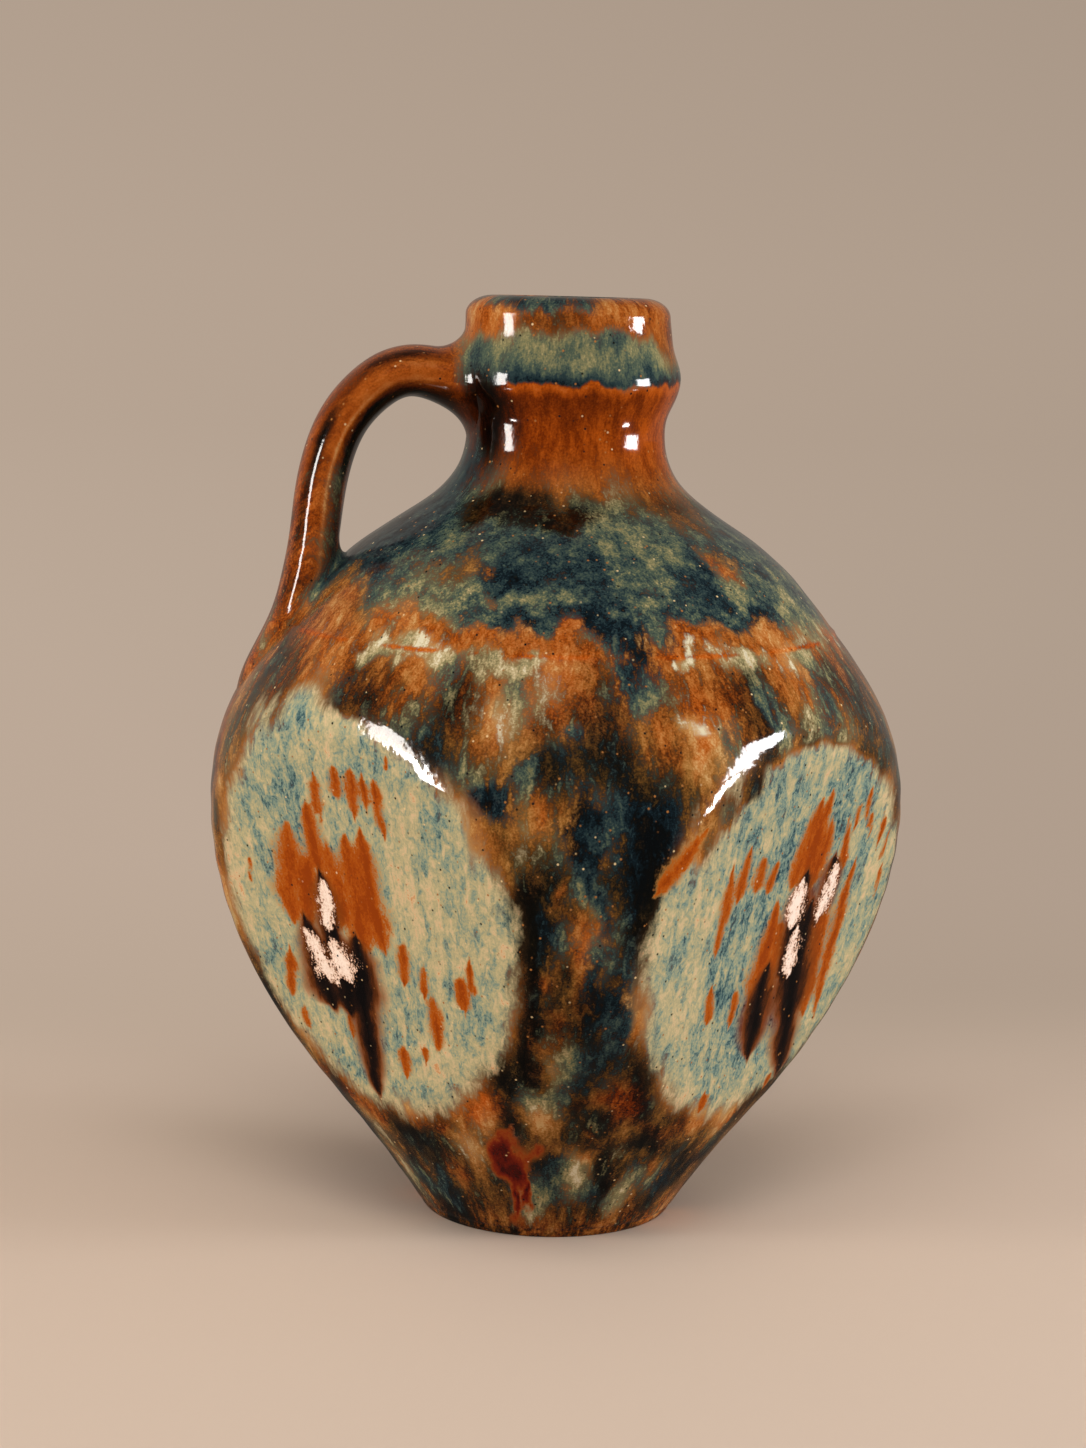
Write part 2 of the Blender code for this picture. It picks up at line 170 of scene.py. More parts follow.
def bore_radius(height):
    """The inside of the wall, which narrows from the neck to the mouth."""
    rise = np.clip((height - NECK_HEIGHT) / (LEDGE_HEIGHT - NECK_HEIGHT), 0, 1)
    throat = NECK_RADIUS - WALL + rise * (MOUTH_RADIUS - NECK_RADIUS + WALL)
    return np.where(height > NECK_HEIGHT, throat, turned_radius(height) - WALL * steepness(height))


def smooth_min(a, b, blend):
    """The smaller of two values, with the corner between them rounded."""
    overlap = np.maximum(blend - np.abs(a - b), 0) / blend
    return np.minimum(a, b) - overlap * overlap * blend / 4


def soft_line(value, middle, half_width, depth=1):
    """A soft line: full depth on its middle, falling away to both sides."""
    return depth * np.exp(-(((value - middle) / half_width) ** 2))


def panel_angle(angle):
    """Angle from the middle of the nearest panel."""
    return (angle - PANEL_TURN + math.pi / 4) % (math.pi / 2) - math.pi / 4


def panel_distance(height):
    """How far a panel's middle is from the axis."""
    return PANEL_DISTANCE + (height - BELLY_HEIGHT) * math.tan(PANEL_LEAN)


def throwing_marks(angle, height):
    """The hand's slight unevenness in the wall: a shallow spiral and a few broad dents, inwards only."""
    spiral = np.sin(2 * math.pi * height / SPIRAL_PITCH + angle) * np.sin(height / SPIRAL_SWELL + 2 * angle)
    broad = np.sin(3 * angle + height / DENT_CLIMBS[0]) + np.sin(2 * angle - height / DENT_CLIMBS[1] + 1)
    return -SPIRAL_DEPTH * (1 + spiral) - DENT_DEPTH * (2 + broad)


def wall_radius(angle, height):
    """The outside of the body with its pressed panels, as distance from the axis."""
    face = panel_distance(height) / np.cos(panel_angle(angle))
    turned = turned_radius(height) + soft_line(height, *SHOULDER_LINE) - soft_line(height, *FOOT_GROOVE)
    return smooth_min(turned, face, PANEL_EDGE) + throwing_marks(angle, height)


def wall_slopes(angle, height):
    """The outside surface's normal, from small steps along and around it."""
    across = 2 * WALL_STEP
    turn = WALL_STEP / wall_radius(angle, height)
    along = (wall_radius(angle, height + WALL_STEP) - wall_radius(angle, height - WALL_STEP)) / across
    around = (wall_radius(angle + turn, height) - wall_radius(angle - turn, height)) / across
    x = np.cos(angle) + around * np.sin(angle)
    y = np.sin(angle) - around * np.cos(angle)
    normal = np.stack([x, y, -along], -1)
    return normal / np.linalg.norm(normal, axis=-1, keepdims=True)


def deselect_everything():
    for item in bpy.context.view_layer.objects:
        item.select_set(False)
    bpy.context.view_layer.objects.active = None


def points_of(item):
    points = np.zeros(len(item.data.vertices) * 3, np.float32)
    item.data.vertices.foreach_get("co", points)
    return points.reshape(-1, 3).astype(float)


def set_points(item, points):
    item.data.vertices.foreach_set("co", points.astype(np.float32).ravel())
    item.data.update()


def round_axis(points):
    """Each point's distance from the turning axis, its angle round it and its height."""
    x, y, height = points.T
    return np.hypot(x, y), np.arctan2(y, x), height


def start_outline(name, radius, height):
    """A new object in edit mode, holding one selected vertex to draw an outline from."""
    deselect_everything()
    bpy.ops.mesh.primitive_plane_add(size=MM, location=(0, 0, 0), enter_editmode=False)
    item = bpy.context.active_object
    item.name = item.data.name = name
    bpy.ops.object.mode_set(mode="EDIT")
    bpy.ops.mesh.merge(type="CENTER")
    bpy.ops.transform.translate(value=(radius, 0, height))
    return item


def throw(name, outline, closed):
    """Draws an outline of (radius, height) points and spins it into a thrown piece."""
    item = start_outline(name, *outline[0])
    for (radius, height), (next_radius, next_height) in zip(outline, outline[1:]):
        step = (next_radius - radius, 0, next_height - height)
        bpy.ops.mesh.extrude_vertices_move(TRANSFORM_OT_translate={"value": step})
    if closed:
        bpy.ops.mesh.select_all(action="DESELECT")
        rim = bmesh.from_edit_mesh(item.data)
        for vert in rim.verts:
            vert.select_set(len(vert.link_edges) == 1)
        rim.select_flush(True)
        bpy.ops.mesh.edge_face_add()
    bpy.ops.object.mode_set(mode="OBJECT")
    wheel = item.modifiers.new("Wheel", "SCREW")
    wheel.steps = wheel.render_steps = AROUND
    bpy.ops.object.modifier_apply(modifier=wheel.name)
    bpy.ops.object.mode_set(mode="EDIT")
    bpy.ops.mesh.select_all(action="SELECT")
    bpy.ops.mesh.remove_doubles(threshold=SAME_POINT)
    bpy.ops.mesh.normals_make_consistent(inside=False)
    bpy.ops.object.mode_set(mode="OBJECT")
    bpy.ops.object.shade_smooth()
    return item


def press_panels(item):
    """Moves the thrown wall in to the panels and gives it the hand's unevenness."""
    points = points_of(item)
    radius, angle, height = round_axis(points)
    depth = np.clip((turned_radius(height) - radius) / steepness(height), 0, WALL)
    face = (panel_distance(height) - depth / math.cos(PANEL_LEAN)) / np.cos(panel_angle(angle))
    pressed = smooth_min(radius, face, PANEL_EDGE)
    on_wall = (depth < ON_OUTSIDE) & (height < LIP_START + SAME_POINT)
    above_bevel = height > FOOT_BEVEL - BEVEL_OVERLAP
    pressed = np.where(on_wall & above_bevel, wall_radius(angle, height), pressed)
    lip = (height > LIP_START) & ~on_wall
    left = np.clip((RIM_HEIGHT - height) / LIP_DOME, 0, 1)
    pressed = np.where(lip, radius + left * throwing_marks(angle, height), pressed)
    scale = np.where(radius > MM, pressed / np.maximum(radius, MM), 1)
    points[:, :2] *= scale[:, None]
    set_points(item, points)
    return angle, height, on_wall


def outline_path(low, high, count):
    """Heights from low to high, and how far along the outline each one is."""
    fine = np.linspace(low, high, count)
    steps = np.hypot(np.diff(fine), np.diff(turned_radius(fine)))
    return fine, np.concatenate([[0], np.cumsum(steps)])


def heights(low, high, spacing):
    """Heights from low to high, evenly spaced along the outline."""
    fine, path = outline_path(low, high, PART_SAMPLES)
    count = max(2, round(path[-1] / spacing))
    return np.interp(np.linspace(0, path[-1], count + 1), path, fine)


def outer(low, high, spacing):
    """Points up the outside of the wall."""
    levels = heights(low, high, spacing)
    return [(float(turned_radius(level)), float(level)) for level in levels]


def inner(low, high, spacing):
    """Points down the inside of the wall."""
    levels = heights(low, high, spacing)[::-1]
    return [(float(bore_radius(level)), float(level)) for level in levels]


def arc(radius, height, round_radius, start, end, count):
    angles = np.linspace(start, end, count + 1)
    return [(radius + round_radius * math.cos(a), height + round_radius * math.sin(a)) for a in angles]


def bowl_outline():
    """The bowl's section: the underside, the outside, the inside and the floor."""
    floor_edge = FLOOR_TOP + FLOOR_CURVE
    corner = float(bore_radius(np.array(floor_edge))) - FLOOR_CURVE
    outline = [(0, FOOT_RECESS), (0.8 * FOOT_RING_INNER, FOOT_RECESS), (FOOT_RING_INNER, FOOT_RECESS)]
    outline += [(FOOT_RING_INNER, FOOT_RING_HEIGHT)]
    outline += outer(FOOT_RING_HEIGHT, SHOULDER_JOINT, BOWL_ROWS[0])
    outline += inner(floor_edge, SHOULDER_JOINT, BOWL_ROWS[1])
    outline += arc(corner, floor_edge, FLOOR_CURVE, 0, -math.pi / 2, 4)[1:]
    return outline + [(corner / 2, FLOOR_TOP), (0, FLOOR_TOP)]


def collar_outline():
    """The collar with its domed lip, whose section is a quarter of an oval."""
    top = MOUTH_RADIUS + LIP_INNER_ROUND
    outline = outer(COLLAR_JOINT, LIP_START, COLLAR_ROWS[0])
    across = outline[-1][0] - top
    turns = np.linspace(0, math.pi / 2, LIP_ROWS)[1:-1]
    lip = [(top + across * math.cos(turn), LIP_START + LIP_DOME * math.sin(turn)) for turn in turns]
    crest_height = RIM_HEIGHT - LIP_INNER_ROUND
    crest = arc(top, crest_height, LIP_INNER_ROUND, math.pi / 2, math.pi, LIP_INNER_ROWS)
    return outline + lip + crest + inner(COLLAR_JOINT, LEDGE_HEIGHT, COLLAR_ROWS[1])


def ring_outline(low, high):
    """The section of a plain ring of wall."""
    return outer(low, high, RING_ROWS[0]) + inner(low, high, RING_ROWS[1])


def foot_outline():
    """The foot ring's section, with a bevelled outer edge."""
    outline = [(FOOT_RING_INNER + FOOT_BEVEL, 0), (FOOT_RADIUS - FOOT_BEVEL, 0)]
    outline += arc(FOOT_RADIUS - FOOT_BEVEL, FOOT_BEVEL, FOOT_BEVEL, -math.pi / 3, 0, 2)
    outline += outer(2 * FOOT_BEVEL, FOOT_RING_HEIGHT, FOOT_ROWS)
    return outline + [(FOOT_RING_INNER, height) for height in (FOOT_RING_HEIGHT, FOOT_RECESS, FOOT_BEVEL)]


def smooth_across_joints(item, angle, height, on_wall):
    """Gives the outside its exact normals, so that no joint shows through the glaze."""
    normals = np.zeros(len(item.data.vertices) * 3, np.float32)
    item.data.vertices.foreach_get("normal", normals)
    normals = normals.reshape(-1, 3).astype(float)
    normals[on_wall] = wall_slopes(angle[on_wall], height[on_wall])
    item.data.normals_split_custom_set_from_vertices([tuple(normal) for normal in normals])


def body_piece(name, outline, closed=True):
    """One thrown piece of the body, pressed and smoothed."""
    item = throw(name, outline, closed)
    smooth_across_joints(item, *press_panels(item))
    return item


# The handle's centre line and section, as in the CAD model.
HANDLE_OVERHANG = 0.0020
HANDLE_DROP = 0.053
LANDING_HEIGHT = LEDGE_HEIGHT - HANDLE_DROP
HANDLE_REACH = float(turned_radius(LANDING_HEIGHT)) + HANDLE_OVERHANG - NECK_RADIUS
HANDLE_TAIL = 0.0345
HANDLE_WIDTH = 0.0225
HANDLE_THICKNESS = 0.0132
ARCH_SHARES = (
    (-0.09, 0.984), (0.153, 1.004), (0.435, 1.009), (0.65, 0.913), (0.803, 0.777), (0.9, 0.606),
    (0.957, 0.404), (0.99, 0.197),
)
LANDING_SHARES = ((1.0, 0.28), (0.72, -0.04), (0.435, -0.14), (0.217, -0.17), (0.0, -0.30))
WIDTH_SHARES = (1.10, 1.06, 1.02, 1.0, 0.98, 0.97, 0.97, 1.0, 1.06, 1.06, 0.86, 0.54, 0.20)
THICKNESS_SHARES = (1.0, 1.0, 1.0, 0.99, 0.98, 0.98, 0.98, 0.97, 0.94, 0.80, 0.60, 0.42, 0.26)
# The strap's rings: points in each, their places near the collar in mm, and their spacing after that.
STRAP_CORNERS = 24
STRAP_LEVELS = 2
ROOT_RINGS = (
    0, 0.8, 1.6, 2.4, 3.2, 4, 4.8, 5.6, 6.4, 7.2, 8, 9, 10.2, 11.6, 13.2, 15, 17, 19.5, 22.5,
)
RING_SPACING = 2.6 * MM
STRAP_SAMPLES = 700
# The root is the part of the strap in this share of its drop and this share of its reach.
ROOT_SHARES = (0.3, 0.6)
# How far the clay is drawn out round the handle's two ends.
ROOT_ABOVE = 0.0065
ROOT_SIDE = 0.0055
ROOT_BELOW = 0.0125
LANDING_SIDE = 0.0034
LANDING_CROTCH = 0.0080
# Skin nearer to the centre line than this, as on the tail's flat top, is drawn out less.
LANDING_CALM = 0.0030
# How far the drawn-out skin dips under the wall where it ends.
SKIN_DIP = 0.12 * MM


def strap_curves():
    """Place, height, half width and half thickness of the strap, as functions of the length along it."""
    stations = [
        (NECK_RADIUS + out * HANDLE_REACH, LANDING_HEIGHT + up * HANDLE_DROP) for out, up in ARCH_SHARES
    ]
    for up, lift in LANDING_SHARES:
        height = LANDING_HEIGHT + (up - 1) * HANDLE_TAIL
        stations.append((float(turned_radius(height)) + lift * HANDLE_THICKNESS, height))
    stations = np.array(stations)
    lengths = np.concatenate([[0], np.cumsum(np.hypot(*np.diff(stations, axis=0).T))])
    columns = (
        stations[:, 0],
        stations[:, 1],
        np.array(WIDTH_SHARES) * HANDLE_WIDTH / 2,
        np.array(THICKNESS_SHARES) * HANDLE_THICKNESS / 2,
    )
    return [natural_spline(lengths, column) for column in columns], float(lengths[-1])


def strap_lengths(length):
    """Lengths of the strap's rings, crowded at the collar, where the fillet needs them."""
    root = np.array(ROOT_RINGS) * MM
    count = round((length - root[-1]) / RING_SPACING)
    return np.concatenate([root, np.linspace(root[-1], length, count + 1)[1:]])


def pulled_strap():
    """The strap: an oval, extruded along its arch by small moves, turns and scalings."""
    curves, length = strap_curves()
    lengths = strap_lengths(length)
    places = np.stack([-curves[0](lengths), curves[1](lengths)], -1)
    runs = -(curves[0](lengths + OUTLINE_STEP) - curves[0](lengths - OUTLINE_STEP))
    rises = curves[1](lengths + OUTLINE_STEP) - curves[1](lengths - OUTLINE_STEP)
    leans = np.unwrap(np.arctan2(rises, runs))
    # The smoothing draws a ring in, so it starts larger.
    swell = 3 / (2 + math.cos(2 * math.pi / STRAP_CORNERS))
    widths, depths = swell * curves[2](lengths), swell * curves[3](lengths)
    deselect_everything()
    bpy.ops.mesh.primitive_circle_add(vertices=STRAP_CORNERS, radius=1, location=(0, 0, 0))
    item = bpy.context.active_object
    item.name = item.data.name = "pulled_handle"
    place_first_ring(item, widths[0], depths[0], leans[0], places[0])
    bpy.ops.object.mode_set(mode="EDIT")
    bpy.ops.mesh.select_all(action="SELECT")
    for i in range(1, len(lengths)):
        step = (places[i, 0] - places[i - 1, 0], 0, places[i, 1] - places[i - 1, 1])
        centre = (places[i, 0], 0, places[i, 1])
        bpy.ops.mesh.extrude_edges_move(TRANSFORM_OT_translate={"value": step})
        bpy.ops.transform.rotate(value=leans[i] - leans[i - 1], orient_axis="Y", center_override=centre)
        slim = depths[i] / depths[i - 1]
        bpy.ops.transform.resize(value=(slim, widths[i] / widths[i - 1], slim), center_override=centre)
    bpy.ops.mesh.select_all(action="DESELECT")
    bpy.ops.mesh.select_non_manifold()
    bpy.ops.mesh.edge_face_add()
    bpy.ops.mesh.select_all(action="SELECT")
    bpy.ops.mesh.normals_make_consistent(inside=False)
    bpy.ops.object.mode_set(mode="OBJECT")
    return item, curves, length


def place_first_ring(item, half_width, half_thickness, lean, place):
    """Stands the flat unit circle across the start of the strap's centre line."""
    points = points_of(item)
    across, up = points[:, 0].copy(), points[:, 1].copy()
    points[:, 0] = place[0] - math.sin(lean) * up * half_thickness
    points[:, 1] = across * half_width
    points[:, 2] = place[1] + math.cos(lean) * up * half_thickness
    set_points(item, points)


def wall_height_above(points):
    """How far points are off the body's outside, and the outward direction there."""
    radius, angle, height = round_axis(points)
    height = np.clip(height, 0, LIP_START)
    normal = wall_slopes(angle, height)
    flat = np.hypot(normal[:, 0], normal[:, 1])
    return (radius - wall_radius(angle, height)) * flat, normal


def hollow(distance, reach):
    """A quarter circle's hollow: 1 on the body, falling to 0 at the reach."""
    left = 1 - np.clip(distance / reach, 0, 1)
    return 1 - np.sqrt(1 - left * left)


def lute_to_body(item, centres):
    """Spreads the strap's skin into the fillets of clay that join it to the collar and the shoulder."""
    points = points_of(item)
    above, normal = wall_height_above(points)
    out = points - centres
    out -= (out * normal).sum(-1, keepdims=True) * normal
    out /= np.maximum(np.linalg.norm(out, axis=-1, keepdims=True), LANDING_CALM)
    at_collar = centres[:, 2] > LEDGE_HEIGHT - ROOT_SHARES[0] * HANDLE_DROP
    at_collar &= centres[:, 0] > -(NECK_RADIUS + ROOT_SHARES[1] * HANDLE_REACH)
    upward, downward = np.clip(out[:, 2], 0, 1), np.clip(-out[:, 2], 0, 1)
    collar_reach = ROOT_SIDE + (ROOT_ABOVE - ROOT_SIDE) * upward + (ROOT_BELOW - ROOT_SIDE) * downward
    shoulder_reach = LANDING_SIDE + (LANDING_CROTCH - LANDING_SIDE) * upward**2
    reach = np.where(at_collar, collar_reach, shoulder_reach)
    points += out * (reach * hollow(above, reach))[:, None]
    now, normal = wall_height_above(points)
    near = np.clip(1 - above / reach, 0, 1)
    points += normal * ((above - SKIN_DIP - now) * near)[:, None]
    set_points(item, points)


def along_strap(points, curves, length):
    """The length along the strap's centre line that is nearest each point, and the centre there."""
    samples = np.linspace(0, length, STRAP_SAMPLES)
    line = np.stack([-curves[0](samples), curves[1](samples)], -1)
    closest = ((points[:, None, [0, 2]] - line[None]) ** 2).sum(-1).argmin(1)
    pull = (points[:, [0, 2]] - line[closest]) * np.gradient(line, samples, axis=0)[closest]
    nearest = np.clip(samples[closest] + pull.sum(-1), 0, length)
    return nearest, np.stack([-curves[0](nearest), 0 * nearest, curves[1](nearest)], -1)


def pulled_handle():
    """The strap, smoothed and luted to the body, with each point's length along it and offset from it."""
    item, curves, length = pulled_strap()
    smoothing = item.modifiers.new("Smooth strap", "SUBSURF")
    smoothing.levels = smoothing.render_levels = STRAP_LEVELS
    bpy.ops.object.modifier_apply(modifier=smoothing.name)
    bpy.ops.object.shade_smooth()
    points = points_of(item)
    along, centres = along_strap(points, curves, length)
    lute_to_body(item, centres)
    return item, along, points - centres


foot = body_piece("turned_foot_ring", foot_outline())
bowl = body_piece("thrown_bowl", bowl_outline(), closed=False)
shoulder = body_piece("closed_shoulder", ring_outline(SHOULDER_JOINT, NECK_JOINT))
neck = body_piece("drawn_neck", ring_outline(NECK_JOINT, COLLAR_JOINT))
collar = body_piece("ledged_collar", collar_outline())
handle, handle_along, handle_offset = pulled_handle()


# The glaze, drawn as marks. Iron glaze runs from 0, ochre, by orange and rust to 1, black-brown.
# Rutile glaze runs from 0, blue-black, by slate, olive and celadon to 1, cream.
# Each row of a ground gives a height in mm, how far rutile covers iron there, and the two glazes' tones.
GROUNDS = (
    (0, 0, 0.6, 0.45), (0.8, 0, 0.42, 0.45), (1.6, 0, 0.4, 0.45), (2.2, 0, 0.66, 0.45), (3, 0, 0.4, 0.45),
    (7, 0.1, 0.55, 0.5), (14, 0.32, 0.6, 0.45), (30, 0.3, 0.58, 0.44), (60, 0.36, 0.6, 0.42),
    (95, 0.42, 0.76, 0.36), (120, 0.38, 0.54, 0.46), (135, 0.38, 0.6, 0.47), (148, 0.34, 0.54, 0.51),
    (156, 0.12, 0.41, 0.7), (159, 0.35, 0.38, 0.4), (163, 0.95, 0.45, 0.42), (172, 1, 0.6, 0.4),
    (182, 0.85, 0.85, 0.38), (187, 0.4, 0.85, 0.45), (191, 0.24, 0.5, 0.64), (203, 0.02, 0.5, 0.6),
    (214, 0, 0.58, 0.5), (217, 0, 0.34, 0.5), (218.2, 0.9, 0.8, 0.16), (220, 1, 0.7, 0.34),
    (223, 1, 0.5, 0.57), (226, 0.86, 0.48, 0.6), (229, 0.58, 0.47, 0.6), (232, 0.28, 0.47, 0.58),
    (235, 0.16, 0.37, 0.5), (237, 0.36, 0.42, 0.4), (239, 0.55, 0.55, 0.32),
)
# How red the iron glaze is, by height in mm.
AMBER_SHARES = (
    (0, 0.5), (4, 0.5), (15, 0.25), (60, 0.15), (130, 0.2), (145, 0.55), (160, 0.5), (166, 0.2), (188, 0.4),
    (195, 0.65), (205, 1), (217, 1), (220, 0.3), (230, 0.6), (239, 0.6),
)
# How strongly the streaks and the mottles show, and how far the lower glaze gathers in tongues, by
# height in mm.
PATTERN_SHARES = {
    "streak_share": ((0, 0.8), (130, 1), (155, 0.8), (168, 0.35), (185, 0.2), (239, 0.15)),
    "mottle_share": (
        (0, 1), (170, 1), (188, 0.8), (197, 0.45), (215, 0.45), (221, 0.65), (231, 0.7), (237, 1),
    ),
    "tongue_share": ((0, 0.6), (30, 1), (100, 1), (130, 0.8), (150, 0.5), (160, 0)),
}
# How irregular the drawn edges are, by height in mm.
WANDER_SHARES = ((165, 1), (190, 0.35))
# The radius at which patterns that run down the body are wrapped, by height in mm.
RUN_RADII = ((0, 0.050), (60, 0.062), (160, 0.062), (188, 0.034), (239, 0.030))
# Marks of iron glaze: angle in degrees, height, half width and half height in mm, tone, strength.
IRON_MARKS = (
    (-153, 164, 9, 5, 0.45, 3), (-136, 170, 10, 5, 0.5, 1.4), (-122, 172, 5, 5, 0.52, 1),
    (-133, 161, 12, 3.4, 0.36, 4), (-146, 151, 9, 7, 0.36, 1.5), (-113, 158.6, 13, 2.2, 0.34, 5),
    (-99, 158.2, 7, 2, 0.36, 5), (-92, 158, 2.6, 4.5, 0.36, 6), (-90, 153.6, 6, 1.6, 0.4, 5),
    (-69, 158.6, 7, 2, 0.38, 5), (-75.5, 156.6, 2.4, 2.6, 0.38, 4), (-62.5, 156.6, 3, 2.6, 0.4, 4),
    (-50, 158.4, 9, 2.2, 0.4, 4), (-47, 173, 3.4, 3.6, 0.4, 4), (-112, 173, 2.4, 1.8, 0.42, 3),
    (-111, 168, 2.4, 1.6, 0.46, 2.4), (-126, 146, 9, 5, 0.42, 1), (-112, 144, 8, 5, 0.46, 1),
    (-89, 145, 6, 6, 0.42, 1.8), (-70, 148, 8, 5, 0.42, 1.6), (-60, 140, 8, 6, 0.52, 1.2),
    (-48, 147, 8, 6, 0.48, 1.2), (-77, 135, 6, 7, 0.42, 3), (-71, 132, 2.4, 7, 0.42, 4),
    (-98, 138, 5, 4, 0.38, 2), (-104, 134, 7, 8, 0.55, 1.6), (-96, 121, 4.6, 5, 0.46, 2.6),
    (-106, 112, 6, 5, 0.5, 2.2), (-85, 130, 6, 8, 0.7, 1.2), (-96, 130, 2.6, 5, 0.9, 1.6),
    (-99, 98, 3.4, 13, 0.97, 2.6), (-93.6, 103, 1.3, 6, 0.4, 3), (-91, 90, 4.4, 8, 0.6, 3),
    (-80, 95, 4, 7, 0.66, 1.6), (-95.5, 81, 3, 3.4, 0.4, 3.4), (-94, 68, 4.6, 8, 0.52, 3),
    (-93, 70, 1.4, 1.6, 0.34, 2.4), (-98.6, 69, 1.5, 15, 1, 4), (-89, 76, 2.4, 12, 0.56, 2.4),
    (-97, 54, 2.2, 4, 0.92, 1.6), (-103, 50, 2.2, 3.4, 0.92, 1.6), (-86, 56, 6, 6, 0.56, 1.6),
    (-113, 47, 6, 9, 0.42, 4.6), (-124, 38.5, 9, 3.8, 0.37, 6), (-140, 35.5, 12, 3.8, 0.38, 5),
    (-158, 41, 10, 3.6, 0.42, 5), (-78, 45, 5, 8, 0.44, 4), (-66, 36, 8, 3.4, 0.52, 4),
    (-45, 34, 13, 3, 0.46, 4), (-22, 40, 10, 2.6, 0.55, 3), (-95, 39.5, 3, 3, 0.44, 2.6),
    (-84, 44, 4.6, 3, 0.46, 2.6), (-104, 38, 3.4, 4, 0.94, 2.4), (-83, 36, 4, 3, 0.9, 2.4),
    (-66, 30, 4.4, 3, 0.9, 2.4), (-97, 29, 5, 2.6, 0.44, 2), (-84, 29, 3.4, 2.4, 0.4, 2.6),
    (-128, 21, 3.6, 8, 0.9, 2.6), (-121, 17, 3.6, 7, 0.48, 2.4), (-141, 22, 5, 7, 0.6, 2),
    (-76, 19, 2.4, 8, 0.95, 3), (-62, 23, 4, 6, 0.46, 2.4), (-40, 18, 8, 8, 0.44, 2.4),
    (-20, 25, 8, 10, 0.52, 2), (-75, 107, 4.2, 5.4, 0.34, 4), (-73, 100, 3.2, 6, 0.52, 2.4),
    (-103.5, 92, 2.4, 10, 0.46, 3.4), (-101.5, 74, 3, 14, 0.52, 3.4), (-77, 84, 1.8, 12, 0.6, 3),
    (-79, 66, 2, 8, 0.6, 3), (-143, 210, 4, 7.5, 1, 12), (-150, 205, 8, 9, 0.8, 2),
    (-35, 205, 8, 10, 0.44, 1.5), (-120, 187, 9, 3, 1, 3), (-98, 184.5, 10, 1.8, 1, 4),
    (-45, 186, 8, 4, 0.56, 2), (-155, 233, 8, 4, 0.3, 3), (-105, 233, 6, 3.4, 0.68, 2),
    (-50, 234, 9, 3.4, 0.4, 3), (-25, 228, 6, 5, 0.46, 2), (-40, 238, 10, 2, 0.38, 3),
    (-4, 122, 8, 16, 0.3, 5), (-4, 80, 8, 26, 0.3, 5), (-4, 143, 7, 8, 0.46, 2), (-177, 118, 7, 16, 0.34, 5),
    (-177, 80, 7, 26, 0.32, 5),
)
